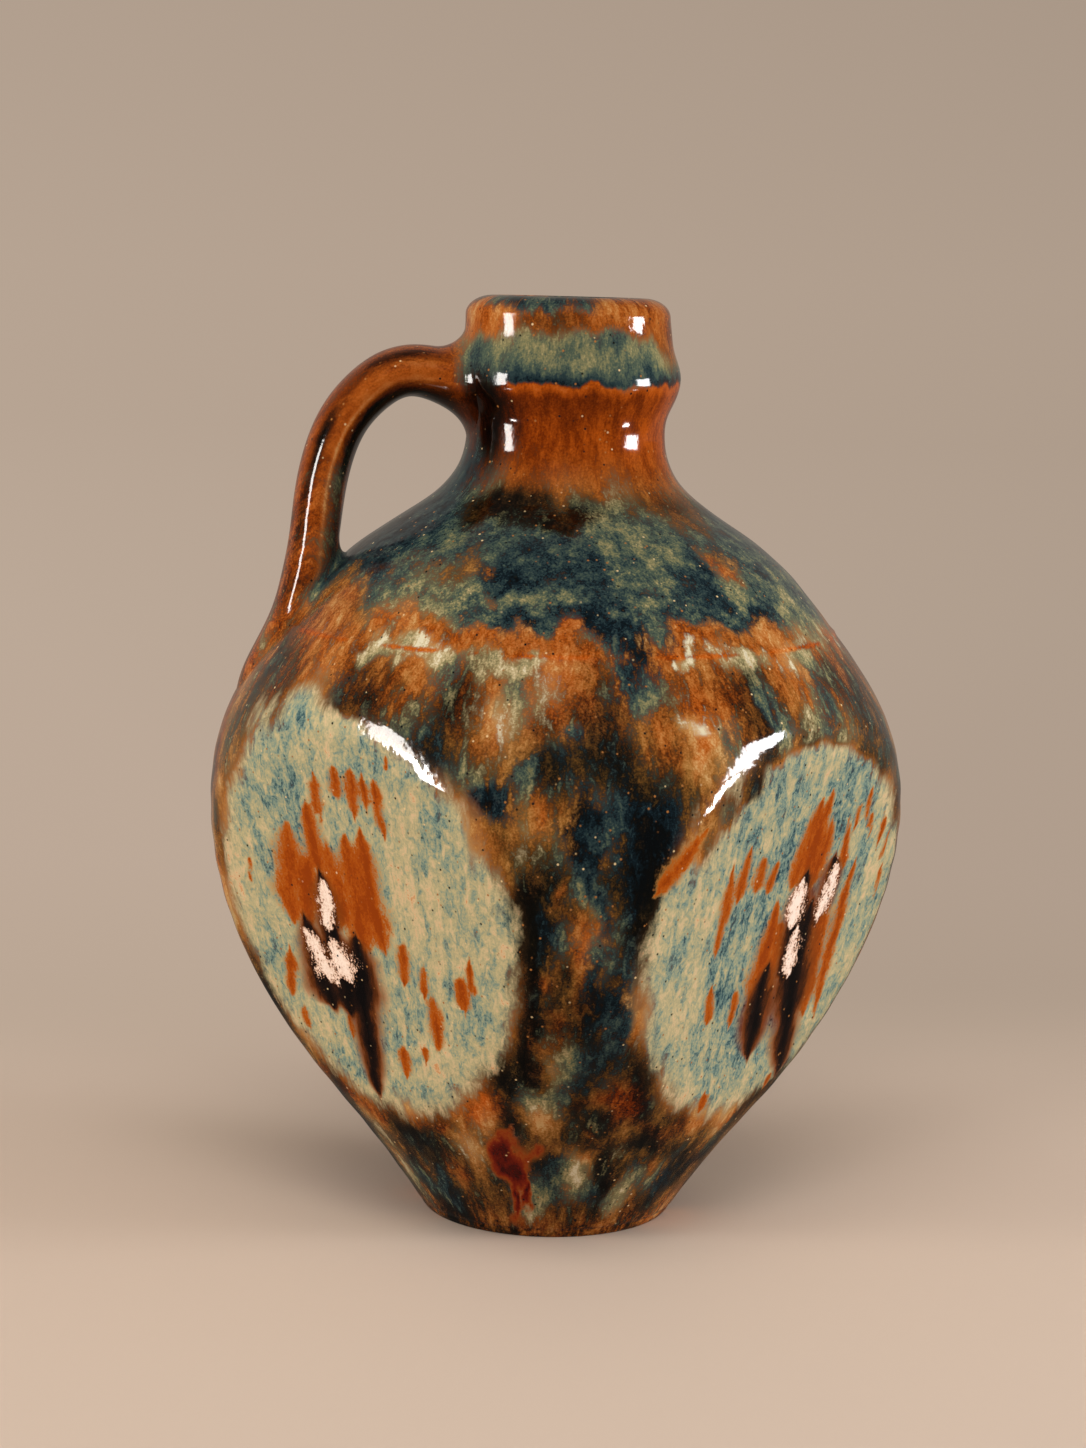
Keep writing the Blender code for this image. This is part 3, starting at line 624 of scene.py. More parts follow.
# Marks of rutile glaze, in the same way.
RUTILE_MARKS = (
    (-134, 155.6, 5, 1.8, 0.88, 5), (-121, 154.4, 6, 2.2, 0.84, 5), (-106, 153.4, 5, 2.6, 0.84, 4),
    (-100, 154.4, 4, 1.6, 0.7, 3), (-69, 156.2, 4.6, 1.2, 0.9, 6), (-55, 154, 6, 2.4, 0.8, 4),
    (-40, 153, 5, 2.6, 0.72, 3), (-30, 160, 5, 5, 0.68, 1.6), (-82, 157.5, 5, 4.2, 0.18, 6),
    (-82, 151, 3.4, 3.4, 0.36, 2.6), (-108, 163.5, 8, 2.6, 0.2, 3), (-89, 162.5, 5, 2.6, 0.04, 4),
    (-100, 166.6, 7, 1.6, 0.52, 2.6), (-113, 167, 9, 3, 0.5, 2.4), (-126, 168, 9, 4, 0.48, 2.4),
    (-142, 172, 10, 5, 0.34, 2), (-108, 172, 7, 2.8, 0.08, 3), (-92, 174, 7, 3.4, 0.24, 2.4),
    (-84, 171, 4, 3, 0.2, 2.4), (-78, 173, 4, 3, 0.42, 3), (-70, 180, 9, 5, 0.56, 3),
    (-118, 180, 8, 3.4, 0.46, 2.4), (-100, 179, 7, 2.6, 0.28, 2), (-72, 165, 8, 4, 0.5, 2.6),
    (-70, 161, 6, 1.8, 0.16, 3), (-58, 171, 7, 5, 0.24, 2.6), (-48, 167, 5, 3, 0.66, 3),
    (-48, 161.6, 6, 2.2, 0.14, 3), (-36, 171, 7, 5, 0.4, 2), (-103, 145, 2.6, 6, 0.62, 3),
    (-116, 150, 3, 5, 0.56, 2), (-78.5, 144, 3.4, 4.6, 0.52, 4), (-93, 138.5, 2.2, 2, 0.5, 2.4),
    (-72.4, 138, 2.6, 1.6, 0.92, 4), (-66, 137, 3, 6, 0.3, 2), (-54, 140, 3.4, 6, 0.56, 2.4),
    (-42, 143, 3.4, 6, 0.5, 2), (-105, 123, 3.6, 3.4, 0.03, 5), (-107.5, 118, 2.6, 2, 0.26, 2.2),
    (-91, 117, 2.2, 6, 0.08, 4), (-88.5, 108, 1.8, 6, 0.05, 4), (-89, 95, 1.6, 12, 0.06, 4),
    (-84, 120, 4.4, 5.4, 0.5, 3), (-78, 113, 3.6, 4.4, 0.3, 3), (-78, 122, 4, 3.6, 0.34, 3),
    (-82, 103, 3, 4, 0.32, 2.4), (-90.6, 102.6, 2.6, 3.8, 0.58, 4), (-97, 126, 5, 7, 0.5, 1.6),
    (-94, 90, 2.6, 5, 0.34, 1.6), (-87.5, 80, 1.6, 8, 0.08, 3.4), (-83, 68, 3.4, 8, 0.2, 3),
    (-86.5, 70, 3, 5, 0.44, 3), (-88, 57, 5, 4.4, 0.46, 2.6), (-92, 56, 2.6, 3, 0.4, 2),
    (-97, 43.6, 5, 4, 0.48, 2.6), (-88, 49, 4, 2.4, 0.4, 2), (-90, 25, 6, 4, 0.4, 1.6),
    (-88, 16.5, 7, 4.4, 0.46, 2.2), (-102, 12, 4, 4, 0.5, 1.6), (-70, 15, 5, 4, 0.46, 2),
    (-56, 19, 5, 5, 0.5, 2.4), (-135, 14, 4, 4, 0.4, 2), (-148, 14, 4, 6, 0.55, 2), (-130, 166, 9, 4, 0.6, 3),
    (-118, 164.6, 6, 2.6, 0.62, 2.4), (-112, 238, 12, 2.2, 0.3, 3), (-108, 227, 8, 3.4, 0.6, 1.4),
    (-80, 225, 6, 3.4, 0.55, 2), (-60, 221, 6, 3, 0.4, 3), (-45, 225, 5, 3, 0.6, 2),
    (-150, 222, 6, 5, 0.42, 3), (-70, 229, 5, 2, 0.34, 2), (-160, 195, 9, 9, 0.22, 3),
    (-168, 178, 14, 8, 0.18, 3),
)
# Places where the iron glaze is redder: angle, height, half sizes, change.
AMBER_MARKS = (
    (-75, 107, 4, 5, 0.7), (-113, 46, 8, 8, 0.5), (-78, 44, 5, 8, 0.4),
)
# The pool of oxblood red near the foot: angle, height, half width and half height in mm.
OXBLOOD_POOLS = (
    (-104.6, 28, 4.4, 6.5), (-104.9, 22, 3.8, 7), (-107, 13, 1.9, 7), (-101.6, 16, 1.7, 6),
)
# Marks that bring the panels' ground up or hold it back: angle, height, half sizes, strength.
PANEL_STAINS = (
    (-145, 139, 9, 6.5, 1.6), (-133, 135, 7, 5, 0.9), (-156, 134, 7, 7, 1), (-70, 112, 3.4, 6, -1.4),
    (-66, 119, 4, 5, -1.5), (-60.5, 124.5, 4.2, 4.6, -1.5), (-55.5, 133.5, 5, 3.6, -1.6),
    (-47, 136, 6, 3.6, -1.4), (-37, 134.5, 6, 3.6, -1.4), (-28, 131, 6, 3.8, -1.3), (-22, 126, 4, 4, -1.1),
    (-108, 112, 3, 6, -0.5), (-105, 98, 2, 9, -0.3), (-11, 84, 5, 30, 1), (-16, 48, 8, 15, 0.9),
)
# Marks that shift the panels' own colour to blue-grey or to cream: angle, height, half sizes, change.
PANEL_TONES = (
    (-150, 122, 14, 18, -0.14), (-130, 126, 8, 8, -0.12), (-122, 96, 7, 16, 0.06), (-114, 104, 5, 10, -0.1),
    (-110, 66, 10, 8, -0.2), (-155, 60, 10, 10, 0.06), (-45, 88, 30, 40, -0.2), (-107, 74, 5, 26, 0.16),
    (-115, 68, 7, 14, 0.12), (-119, 100, 7, 6, 0.08), (-66, 76, 5, 22, 0.2), (-42, 60, 9, 11, -0.38),
    (-62, 70, 8, 16, -0.08), (-30, 118, 14, 12, -0.14), (-60, 118, 6, 8, -0.12), (-30, 52, 12, 8, 0.12),
)
# Strokes on the two panels that the photograph shows, in mm on the panel: across and height at the top,
# the same at the bottom, and the half widths at the top and the bottom.
LEFT_RUST = (
    (-11.3, 123, -9.6, 112, 1.6, 1.9), (-2.7, 126, -3.5, 117, 2.3, 2.4), (2.9, 126, 1.9, 113.5, 2.3, 2),
    (7.1, 124.5, 6.4, 116.5, 1.5, 1.2), (11.4, 124.5, 9.8, 109.5, 1.9, 1.9), (15.6, 131, 15, 126, 0.8, 0.7),
    (-22.5, 109, -26, 82, 5, 6.4), (-18, 101, -21, 82, 4, 4.6), (-14.3, 115, -13.6, 97, 3, 3.5),
    (-9, 105, -9.6, 84, 3.4, 5.6), (-2.6, 108, -2.6, 78, 4.4, 6.6), (2.6, 110, 3.6, 79, 3.6, 5.2),
    (11.4, 82.5, 9, 71.5, 2.6, 2.4), (17, 77.5, 16.3, 69.5, 1.9, 1.6), (29.5, 77, 28.5, 67.5, 2.2, 2.2),
    (18.8, 70.5, 16.8, 55.5, 2.3, 2.2), (5.9, 54.5, 4.7, 46, 1.9, 1.8), (-30.3, 74, -31.5, 60.5, 2, 2),
    (-27.7, 59, -27.4, 52.5, 1.5, 1.4), (-38.3, 98, -39.2, 90, 0.7, 0.7), (-12.2, 60, -12, 53.5, 1.2, 1.1),
    (13.2, 56, 12.8, 52, 1.2, 1.1), (33, 82, 32, 72, 1.2, 1.1),
)
LEFT_LUSTRE = (
    (-13.5, 97.5, -14, 78, 2.8, 4), (-22.4, 84, -17.6, 60.5, 3.8, 6), (-12, 82, -11.4, 60, 5.4, 7),
    (-4.6, 82, -5.6, 62, 3.4, 5), (-6.3, 74, -6.4, 38, 6, 2),
)
LEFT_PEARL = (
    (-13.4, 95.5, -14.6, 81.5, 2.8, 3.2), (-23.6, 80.8, -14.4, 67.4, 3.2, 4),
    (-13.2, 79.6, -8.8, 68.8, 3.9, 4.6),
)
RIGHT_RUST = (
    (-37.5, 116, -50, 101, 2.4, 3), (8.1, 118, 5.3, 96, 2.8, 4.2), (12.9, 120, 9.5, 100, 2.1, 3.8),
    (16.4, 112, 13.4, 95, 2.4, 4), (10.5, 110, 10.5, 92, 3.4, 4.6), (-22.4, 104, -20.8, 81, 1.9, 2),
    (-16, 109, -18.3, 95, 1.5, 2.8), (-10.2, 106, -10.8, 96, 1.9, 2.4), (-3.4, 104, -5.4, 95, 1.6, 2.4),
    (0.6, 93, 0, 66, 2.4, 5.4), (4.4, 87, 5, 63, 2.6, 4.8), (23.8, 111, 25.5, 97, 1.2, 1.8),
    (31.1, 99.5, 29.4, 76, 1.8, 3), (29.5, 82, 31, 56, 2.4, 1.6), (21.4, 92, 25.4, 58, 4.4, 4),
    (27.2, 115.5, 27, 108.5, 1, 1.1), (30.2, 119, 32.2, 108.5, 1.1, 1.4), (34, 112, 34.2, 105.5, 0.9, 1),
    (39.1, 110.5, 40, 102.5, 1.1, 1.2), (44.2, 105, 43.4, 97, 1, 1.1), (45.4, 96, 44.2, 87, 1, 1.1),
    (-19.1, 73, -17.4, 62.5, 1.8, 1.9), (-7.8, 70, -7, 60.5, 1.9, 1.8), (-10.8, 43, -9.4, 37.5, 1.8, 1.8),
    (18.5, 43, 17.5, 39, 1.2, 1.2),
)
RIGHT_LUSTRE = (
    (10.4, 99, 11, 70, 4, 4.8), (15.6, 90, 17.4, 58, 4.2, 7), (13.6, 80, 21.6, 42, 5, 3.6),
    (21, 102, 21, 84, 3.6, 3.4), (2.8, 75, 4.8, 50, 4.6, 4.2),
)
RIGHT_PEARL = (
    (9.4, 97, 9.2, 84, 3.4, 3.8), (12, 83.5, 13.4, 70, 3.6, 3.2), (22.4, 99.5, 20.6, 84, 3.8, 3.4),
)
# Each panel's direction, 1 or -1 for mirrored strokes, how far they are shifted in mm, and the strokes.
# The two panels at the back carry the same kinds of stroke, mirrored and shifted.
PANELS = (
    (-135, 1, 0, (LEFT_RUST, LEFT_LUSTRE, LEFT_PEARL)),
    (-45, 1, 0, (RIGHT_RUST, RIGHT_LUSTRE, RIGHT_PEARL)),
    (45, -1, 2.5, (LEFT_RUST, LEFT_LUSTRE, LEFT_PEARL)),
    (135, -1, 2.5, (RIGHT_RUST, RIGHT_LUSTRE, RIGHT_PEARL)),
)
STROKE_MASKS = ("rust_strokes", "lustre_pools", "pearl_pools")
# A mask's value where its glaze is absent, and the most that it reaches.
ABSENT = -2.0
FULL = 1.2
# The waves that make drawn edges irregular: their lengths and the size of the whole in mm, and how much
# their number round the pot and their lean differ from what the length gives.
WANDER_WAVES, WANDER_SIZE = (31, 17, 9.5, 6.1, 4.3), 1.3
WANDER_TURNS, WANDER_LEANS = (0.6, 1.2), (0.5, 1.1)
# Shifts across are turned into angles at this radius or more.
WANDER_RADIUS = 0.020
# How far the marks' copies on the back are moved at random, in degrees and in mm.
BACK_SHIFTS = (5, 1.6)
# Where the random draws start, for the waves and for the marks.
WAVE_SEED, MARK_SEED = 11, 7
# What the ground weighs against the marks on it, the weight at which iron marks would make their glaze
# all red, and the most that they redden it.
GROUND_WEIGHT, RED_WEIGHT, MOST_RED = 0.5, 5, 0.6
# How softly neighbouring strokes flow together, the shares of a stroke's length over which it swells and
# narrows, the least that is left of its width there, squared, how far it runs past its ends in mm, and
# how far its sides wander. A stroke stays on its own panel, within this angle of its middle. A shifted
# one is raised by this share of the shift.
STROKE_MERGE, STROKE_TAPERS, STROKE_TIP, STROKE_RUN, STROKE_WANDER = 0.34, (0.3, 0.25), 0.04, 1.5, 0.25
STROKE_TURN, STROKE_RISE = math.radians(44), 0.4
# The panels' ground: the depth of pressing that gives full glaze, in metres, how far the edge wanders,
# its least and most, what a stain of strength 1 adds, and the tone that the marks start from.
PANEL_DEPTH, PANEL_WANDER, PANEL_LIMITS = 2.0 * MM, 0.10, (-1.5, 2)
STAIN, PANEL_TONE = 2.2, 0.56
# The orange line along the shoulder's joint: half width, how much of it shows and how much that varies,
# how far it clears the rutile away, its tone and how much redder it is.
SEAM_WIDTH = 0.5 * MM
SEAM_SHOWS, SEAM_VARIES = 0.7, 0.6
SEAM_CLEARS, SEAM_TONE, SEAM_REDDER = 0.9, 0.34, 0.5
# Inside the vase: how deep in the wall it starts, and how far in on the lip; rutile's share there,
# iron's tone, and a shift that keeps the patterns apart.
INSIDE_DEPTH, INSIDE_LIP = 0.6 * WALL, 0.3 * LIP_INNER_ROUND
INSIDE_RUTILE, INSIDE_IRON, INSIDE_SHIFT = 0.4, 0.8, 0.5


def round_away(angle, centre):
    """Signed angle from a centre in degrees, as radians, the short way round."""
    return (angle - math.radians(centre) + math.pi) % (2 * math.pi) - math.pi


def at_height(table, height):
    """Reads a table by height in mm: one array for each of its further columns."""
    levels, *columns = np.array(table).T
    return [np.interp(height / MM, levels, column) for column in columns]


def soft_oval(mark, angle, height, radius):
    """A soft oval mark, 1 in its middle. Its row starts with angle, height, half width, half height."""
    centre, level, wide, tall = mark[:4]
    across = round_away(angle, centre) * radius / MM
    return np.exp(-((across / wide) ** 2) - ((height / MM - level) / tall) ** 2)


def wander(angle, height):
    """Shifts across and up, in mm, that make drawn edges irregular: a few crossed waves of random phase."""
    draw = np.random.default_rng(WAVE_SEED)
    shifts = np.zeros((2,) + height.shape)
    for wave in WANDER_WAVES:
        for k in (0, 1):
            for _ in range(2):
                turns = round(2 * math.pi * BELLY_RADIUS / MM / wave * draw.uniform(*WANDER_TURNS))
                lean = draw.choice((-1, 1)) * draw.uniform(*WANDER_LEANS) * 2 * math.pi / wave
                phase = draw.uniform(0, 2 * math.pi)
                shifts[k] += wave * np.sin(turns * angle + lean * height / MM + phase)
    return WANDER_SIZE * shifts / WANDER_WAVES[0] * at_height(WANDER_SHARES, height)[0]


def spread(marks, angle, height, radius):
    """Sums soft oval marks, here and again half a turn round for the back: total weight and weighted tone."""
    weight, tone = np.zeros_like(height), np.zeros_like(height)
    draw = np.random.default_rng(MARK_SEED)
    for centre, level, wide, tall, value, strength in marks:
        turned, raised = draw.normal(0, 1, 2) * BACK_SHIFTS
        for place in ((centre, level), (centre + 180 + turned, level + raised)):
            part = strength * soft_oval((*place, wide, tall), angle, height, radius)
            weight += part
            tone += part * value
    return weight, tone


def ground_tones(angle, height, radius):
    """How far rutile covers iron, the tone of each, and how red iron is, from the grounds and the marks."""
    cover, iron, rutile = at_height(GROUNDS, height)
    iron_weight, iron_tone = spread(IRON_MARKS, angle, height, radius)
    rutile_weight, rutile_tone = spread(RUTILE_MARKS, angle, height, radius)
    cover = (rutile_weight + GROUND_WEIGHT * cover) / (iron_weight + rutile_weight + GROUND_WEIGHT)
    iron = (iron_tone + GROUND_WEIGHT * iron) / (iron_weight + GROUND_WEIGHT)
    rutile = (rutile_tone + GROUND_WEIGHT * rutile) / (rutile_weight + GROUND_WEIGHT)
    amber = at_height(AMBER_SHARES, height)[0]
    return cover, iron, rutile, np.maximum(amber, np.clip(iron_weight / RED_WEIGHT, 0, MOST_RED))


def stroke_field(strokes, across, height, mirror, shift):
    """The nearest stroke's field: 1 on its middle line, 0 at its edge and below 0 outside."""
    total = np.full_like(across, math.exp(ABSENT / STROKE_MERGE))
    for top_x, top_z, low_x, low_z, top_half, low_half in strokes:
        start = np.array((mirror * top_x + shift, top_z + STROKE_RISE * shift))
        run = np.array((mirror * (low_x - top_x), low_z - top_z))
        length = math.hypot(*run)
        away = np.stack([across / MM - start[0], height / MM - start[1]], -1)
        share = (away @ run) / length**2
        side = np.abs(away[:, 0] * run[1] - away[:, 1] * run[0]) / length
        held = np.clip(share, 0, 1)
        half = top_half + (low_half - top_half) * held
        taper = np.minimum(held / STROKE_TAPERS[0], (1 - held) / STROKE_TAPERS[1])
        half = half * np.sqrt(np.clip(taper, STROKE_TIP, 1))
        beyond = np.abs(share - held) * length
        total += np.exp(np.maximum(1 - side / half - beyond / STROKE_RUN, ABSENT - 1) / STROKE_MERGE)
    return np.clip(STROKE_MERGE * np.log(total), ABSENT, FULL)


def stroke_masks(angle, height, radius, shift_x):
    """The three kinds of stroke on all four panels."""
    masks = [np.full_like(height, ABSENT) for _ in STROKE_MASKS]
    for middle, mirror, shift, kinds in PANELS:
        turn = round_away(angle, middle)
        across = radius * np.sin(turn) + STROKE_WANDER * shift_x * MM
        faces = np.abs(turn) < STROKE_TURN
        for mask, strokes in zip(masks, kinds):
            field = stroke_field(strokes, across[faces], height[faces], mirror, shift)
            mask[faces] = np.maximum(mask[faces], field)
    return dict(zip(STROKE_MASKS, masks))


def glaze_fields(angle, height, radius):
    """Every mask of the glaze on the body, by name."""
    shift_x, shift_z = wander(angle, height)
    bent_angle = angle + shift_x * MM / np.maximum(radius, WANDER_RADIUS)
    bent_height = height + shift_z * MM
    cover, iron, rutile, amber = ground_tones(bent_angle, bent_height, radius)
    seam = soft_line(height, SHOULDER_JOINT, SEAM_WIDTH) * np.clip(SEAM_SHOWS + SEAM_VARIES * shift_x, 0, 1)
    cover, iron = cover * (1 - SEAM_CLEARS * seam), iron + seam * (SEAM_TONE - iron)
    amber += SEAM_REDDER * seam
    for mark in AMBER_MARKS:
        amber += mark[4] * soft_oval(mark, bent_angle, bent_height, radius)
    pressed = turned_radius(height) - panel_distance(height) / np.cos(panel_angle(angle))
    panel = np.clip(pressed / PANEL_DEPTH + PANEL_WANDER * shift_x, *PANEL_LIMITS)
    for mark in PANEL_STAINS:
        panel += STAIN * mark[4] * soft_oval(mark, angle, height, radius)
    tone = np.full_like(height, PANEL_TONE)
    for mark in PANEL_TONES:
        for turn in (0, math.pi):
            tone += mark[4] * soft_oval(mark, angle - turn, height, radius)
    pool = np.full_like(height, ABSENT)
    for centre, level, wide, tall in OXBLOOD_POOLS:
        across = round_away(bent_angle, centre) * radius / MM
        pool = np.maximum(pool, 1 - np.hypot(across / wide, (bent_height / MM - level) / tall))
    return {
        **{name: at_height(rows, height)[0] for name, rows in PATTERN_SHARES.items()},
        "oxblood_pools": pool,
        "amber_share": np.clip(amber, 0, FULL),
        "panel_tone": tone,
        "rutile_cover": cover,
        "iron_tone": iron,
        "rutile_tone": rutile,
        "panel_ground": panel,
        **stroke_masks(angle, height, radius, shift_x),
    }


def add_fields(item, fields, run_place):
    """Stores the masks on the piece, and the place of each point for patterns that run down the wall."""
    for name, values in fields.items():
        layer = item.data.attributes.new(name, "FLOAT", "POINT")
        layer.data.foreach_set("value", values.astype(np.float32))
    layer = item.data.attributes.new("run_place", "FLOAT_VECTOR", "POINT")
    layer.data.foreach_set("vector", run_place.astype(np.float32).ravel())


def wall_place(angle, height, down):
    """The body's place for patterns that run down it: round its axis, and along its outline."""
    wrap = at_height(RUN_RADII, height)[0]
    return np.stack([wrap * np.cos(angle), wrap * np.sin(angle), down], -1)


def outline_length(height):
    """How far up the turned outline a height is, measured along it from the foot."""
    return np.interp(height, *outline_path(0, RIM_HEIGHT, WHOLE_SAMPLES))


def glaze_body_piece(item):
    """The body's glaze, with a plain dark one inside."""
    radius, angle, height = round_axis(points_of(item))
    inside = wall_radius(angle, np.minimum(height, LIP_START)) - radius > INSIDE_DEPTH
    inside &= (height < LIP_START) | (radius < MOUTH_RADIUS + INSIDE_LIP)
    down = outline_length(height) + np.where(inside, INSIDE_SHIFT, 0)
    fields = glaze_fields(angle, height, np.maximum(radius, MM))
    for name in (*STROKE_MASKS, "panel_ground"):
        fields[name][inside] = ABSENT
    fields["rutile_cover"][inside] *= INSIDE_RUTILE
    fields["iron_tone"][inside] = INSIDE_IRON
    add_fields(item, fields, wall_place(angle, height, down))


# The height above the body at which the handle's own glaze is alone.
HANDLE_BLEND = 3.5 * MM
# That glaze: how far rutile covers it, what the olive film, partly painted shade, adds, rutile's tone and how
# red the iron is.
HANDLE_COVER, HANDLE_OLIVE_AND_SHADE, HANDLE_RUTILE, HANDLE_AMBER = 0.10, 0.45, 0.48, 0.75
# The middle of the opening under the handle, and the heights in mm over which the arch starts.
HANDLE_GAP_CENTRE = (-0.043, 0, 0.190)
ARCH_START = ((190, 0), (202, 1))
# The olive film on the sides of the handle's leg, partly olive glaze and partly painted shade on the faces
# towards the opening: how far these face the opening, and half that range.
OLIVE_AND_SHADE_FACING = (0.35, 0.3)
# The handle's tone, and the painted shade under the arch: what it adds, where it starts and over which range
# of facing.
HANDLE_TONE = 0.47
PAINTED_SHADE_UNDER_ARCH = (0.42, 0.1, 0.5)
# Dark streaks on the handle, and in the last row a pale line that is a painted highlight down the strap's
# middle: length along it, how far the place faces the opening, half sizes, change.
HANDLE_STREAKS_AND_PAINTED_HIGHLIGHT = (
    (20, -0.45, 9, 0.2, 0.28), (33, 0.45, 8, 0.16, 0.36), (46, -0.3, 9, 0.14, 0.5), (48, 0.5, 9, 0.12, 0.45),
    (66, -0.35, 12, 0.14, 0.26), (72, 0.45, 12, 0.12, 0.3), (84, -0.1, 6, 0.2, 0.2),
    # A painted highlight: a long pale line down the middle of the strap.
    (52, 0.13, 34, 0.05, -0.42),
)
# Half the strap's thickness and half its width, as its patterns are wrapped round it.
STRAP_WRAP = (0.009, 0.012)


def glaze_handle(item, along, offset):
    """The handle's own rust glaze, with painted shade under the arch and on the leg's inner faces and a
    painted highlight down the strap; it passes into the body's glaze at both ends.
    """
    points = points_of(item)
    above, _ = wall_height_above(points)
    radius, angle, height = round_axis(points)
    fields = glaze_fields(angle, np.clip(height, 0, RIM_HEIGHT), radius)
    own = np.clip(above / HANDLE_BLEND, 0, 1)
    inward = np.array(HANDLE_GAP_CENTRE) - (points - offset)
    facing = (offset * inward).sum(-1) / np.maximum(np.linalg.norm(offset, axis=-1), 0.1 * MM)
    facing /= np.linalg.norm(inward, axis=-1)
    arch = at_height(ARCH_START, height)[0]
    # Olive glaze, and painted shade, on the leg's faces towards the opening.
    olive_and_shade = soft_line(facing, *OLIVE_AND_SHADE_FACING) * (1 - arch)
    # Painted shade: the arch's faces towards the opening under it are darkened.
    added, start, span = PAINTED_SHADE_UNDER_ARCH
    tone = HANDLE_TONE + added * arch * np.clip((facing - start) / span, 0, 1)
    # Dark glaze streaks and the painted highlight line, on the strap's front half only.
    for level, side, long, wide, change in HANDLE_STREAKS_AND_PAINTED_HIGHLIGHT:
        away = ((along / MM - level) / long) ** 2 + ((facing - side) / wide) ** 2
        tone += change * np.exp(-away) * (offset[:, 1] < 0)
    for name, value in (
        ("rutile_cover", HANDLE_COVER + HANDLE_OLIVE_AND_SHADE * olive_and_shade),
        ("rutile_tone", HANDLE_RUTILE),
        ("iron_tone", tone),
        ("amber_share", HANDLE_AMBER),
        ("tongue_share", 0),
    ):
        fields[name] = (1 - own) * fields[name] + own * value
    for name in (*STROKE_MASKS, "panel_ground"):
        fields[name][:] = ABSENT
    # The strap's patterns meet the body's at both ends, so that neither is squeezed where they blend.
    around = np.arctan2(offset[:, 1], np.hypot(offset[:, 0], offset[:, 2]))
    level = np.interp(along, (0, along.max()), (LEDGE_HEIGHT, LANDING_HEIGHT - HANDLE_TAIL))
    out = STRAP_WRAP[0] * (np.cos(around) - 1) - at_height(RUN_RADII, level)[0]
    strap_place = np.stack([out, STRAP_WRAP[1] * np.sin(around), outline_length(level)], -1)
    body_place = wall_place(angle, height, outline_length(height))
    add_fields(item, fields, own[:, None] * strap_place + (1 - own[:, None]) * body_place)


for item in (foot, bowl, shoulder, neck, collar):
    glaze_body_piece(item)
glaze_handle(handle, handle_along, handle_offset)


def srgb(code):
    """A hex colour as linear red, green, blue and alpha."""
    parts = [int(code[i : i + 2], 16) / 255 for i in (1, 3, 5)]
    return tuple(c / 12.92 if c <= 0.04045 else ((c + 0.055) / 1.055) ** 2.4 for c in parts) + (1,)


def add_node(tree, kind, settings=None, inputs=None, stops=None):
    """Adds a node with its properties, its inputs' values or links and its ramp, and gives its outputs."""
    item = tree.nodes.new("ShaderNode" + kind)
    for name, value in (settings or {}).items():
        setattr(item, name, value)
    for name, value in (inputs or {}).items():
        if isinstance(value, bpy.types.NodeSocket):
            tree.links.new(value, item.inputs[name])
        else:
            item.inputs[name].default_value = value
    if stops:
        elements = item.color_ramp.elements
        for place, code in stops[1:-1]:
            elements.new(place).color = srgb(code)
        elements[0].color, elements[-1].color = srgb(stops[0][1]), srgb(stops[-1][1])
    return item.outputs


SMOOTH = {"interpolation_type": "SMOOTHSTEP"}
# Cloudy patterns: where they are laid, the size of their largest grain in mm, how many finer layers
# they have, how many times longer they are down the wall than across, how much they curl, a shift in
# metres, and the mask that gives how strongly they show. The clouds are as wide as the real glaze's
# drifts, the runs are its streaks, and the flecks are its curdled spots. The grain stands for crystals
# of about 0.1 mm: these are too fine to show, so it is drawn five times as coarse.
PATTERNS = {
    "clouds": ("run_place", 12, 4, 1.3, 0.0, 0.0, "mottle_share"),
    "drifts": ("run_place", 5, 4, 2.0, 0.0, 0.31, "mottle_share"),
    "runs": ("run_place", 2.6, 3, 4.5, 0.6, 0.12, "streak_share"),
    "flecks": ("run_place", 1.3, 3, 2.2, 1.2, 0.44, "mottle_share"),
    "grain": ("object", 0.5, 1, 1.0, 0.0, 0.2, "mottle_share"),
}
PATTERN_ROUGHNESS = 0.55
# The tongues that the lower glaze gathers in: width, how much longer they are than wide, how softly they
# meet, and the distances, in widths, from a tongue's middle at which the tone is lowest and highest.
TONGUE_WIDTH, TONGUE_STRETCH, TONGUE_SOFTNESS, TONGUE_DISTANCES = 12 * MM, 2.4, 0.4, (0.15, 0.69)
# Each tone of the glaze: the mask that it starts from, and how much of each pattern is added to it.
TONES = {
    "amber_share": (("drifts", 0.25), ("flecks", 0.15)),
    "rutile_cover": (("clouds", 0.26), ("drifts", 0.20), ("runs", 0.34), ("flecks", 0.20), ("grain", 0.10)),
    "iron_tone": (("tongues", 0.34), ("drifts", 0.26), ("runs", 0.22), ("flecks", 0.16), ("grain", 0.16)),
    "rutile_tone": (("tongues", -0.30), ("drifts", 0.24), ("runs", 0.24), ("flecks", 0.16), ("grain", 0.14)),
    "panel_ground": (("drifts", 0.45), ("runs", 0.8), ("flecks", 0.3), ("grain", 0.15)),
    "panel_tone": (("clouds", 0.12), ("drifts", 0.16), ("runs", 0.26), ("flecks", 0.28), ("grain", 0.14)),
    "oxblood_pools": (("runs", 0.20), ("flecks", 0.16), ("grain", 0.10)),
    "rust_strokes": (("drifts", 0.20), ("runs", 0.30), ("flecks", 0.30), ("grain", 0.25)),
    "lustre_pools": (("runs", 0.26), ("flecks", 0.10)),
    "pearl_pools": (("runs", 0.30), ("flecks", 0.60), ("grain", 0.55)),
}
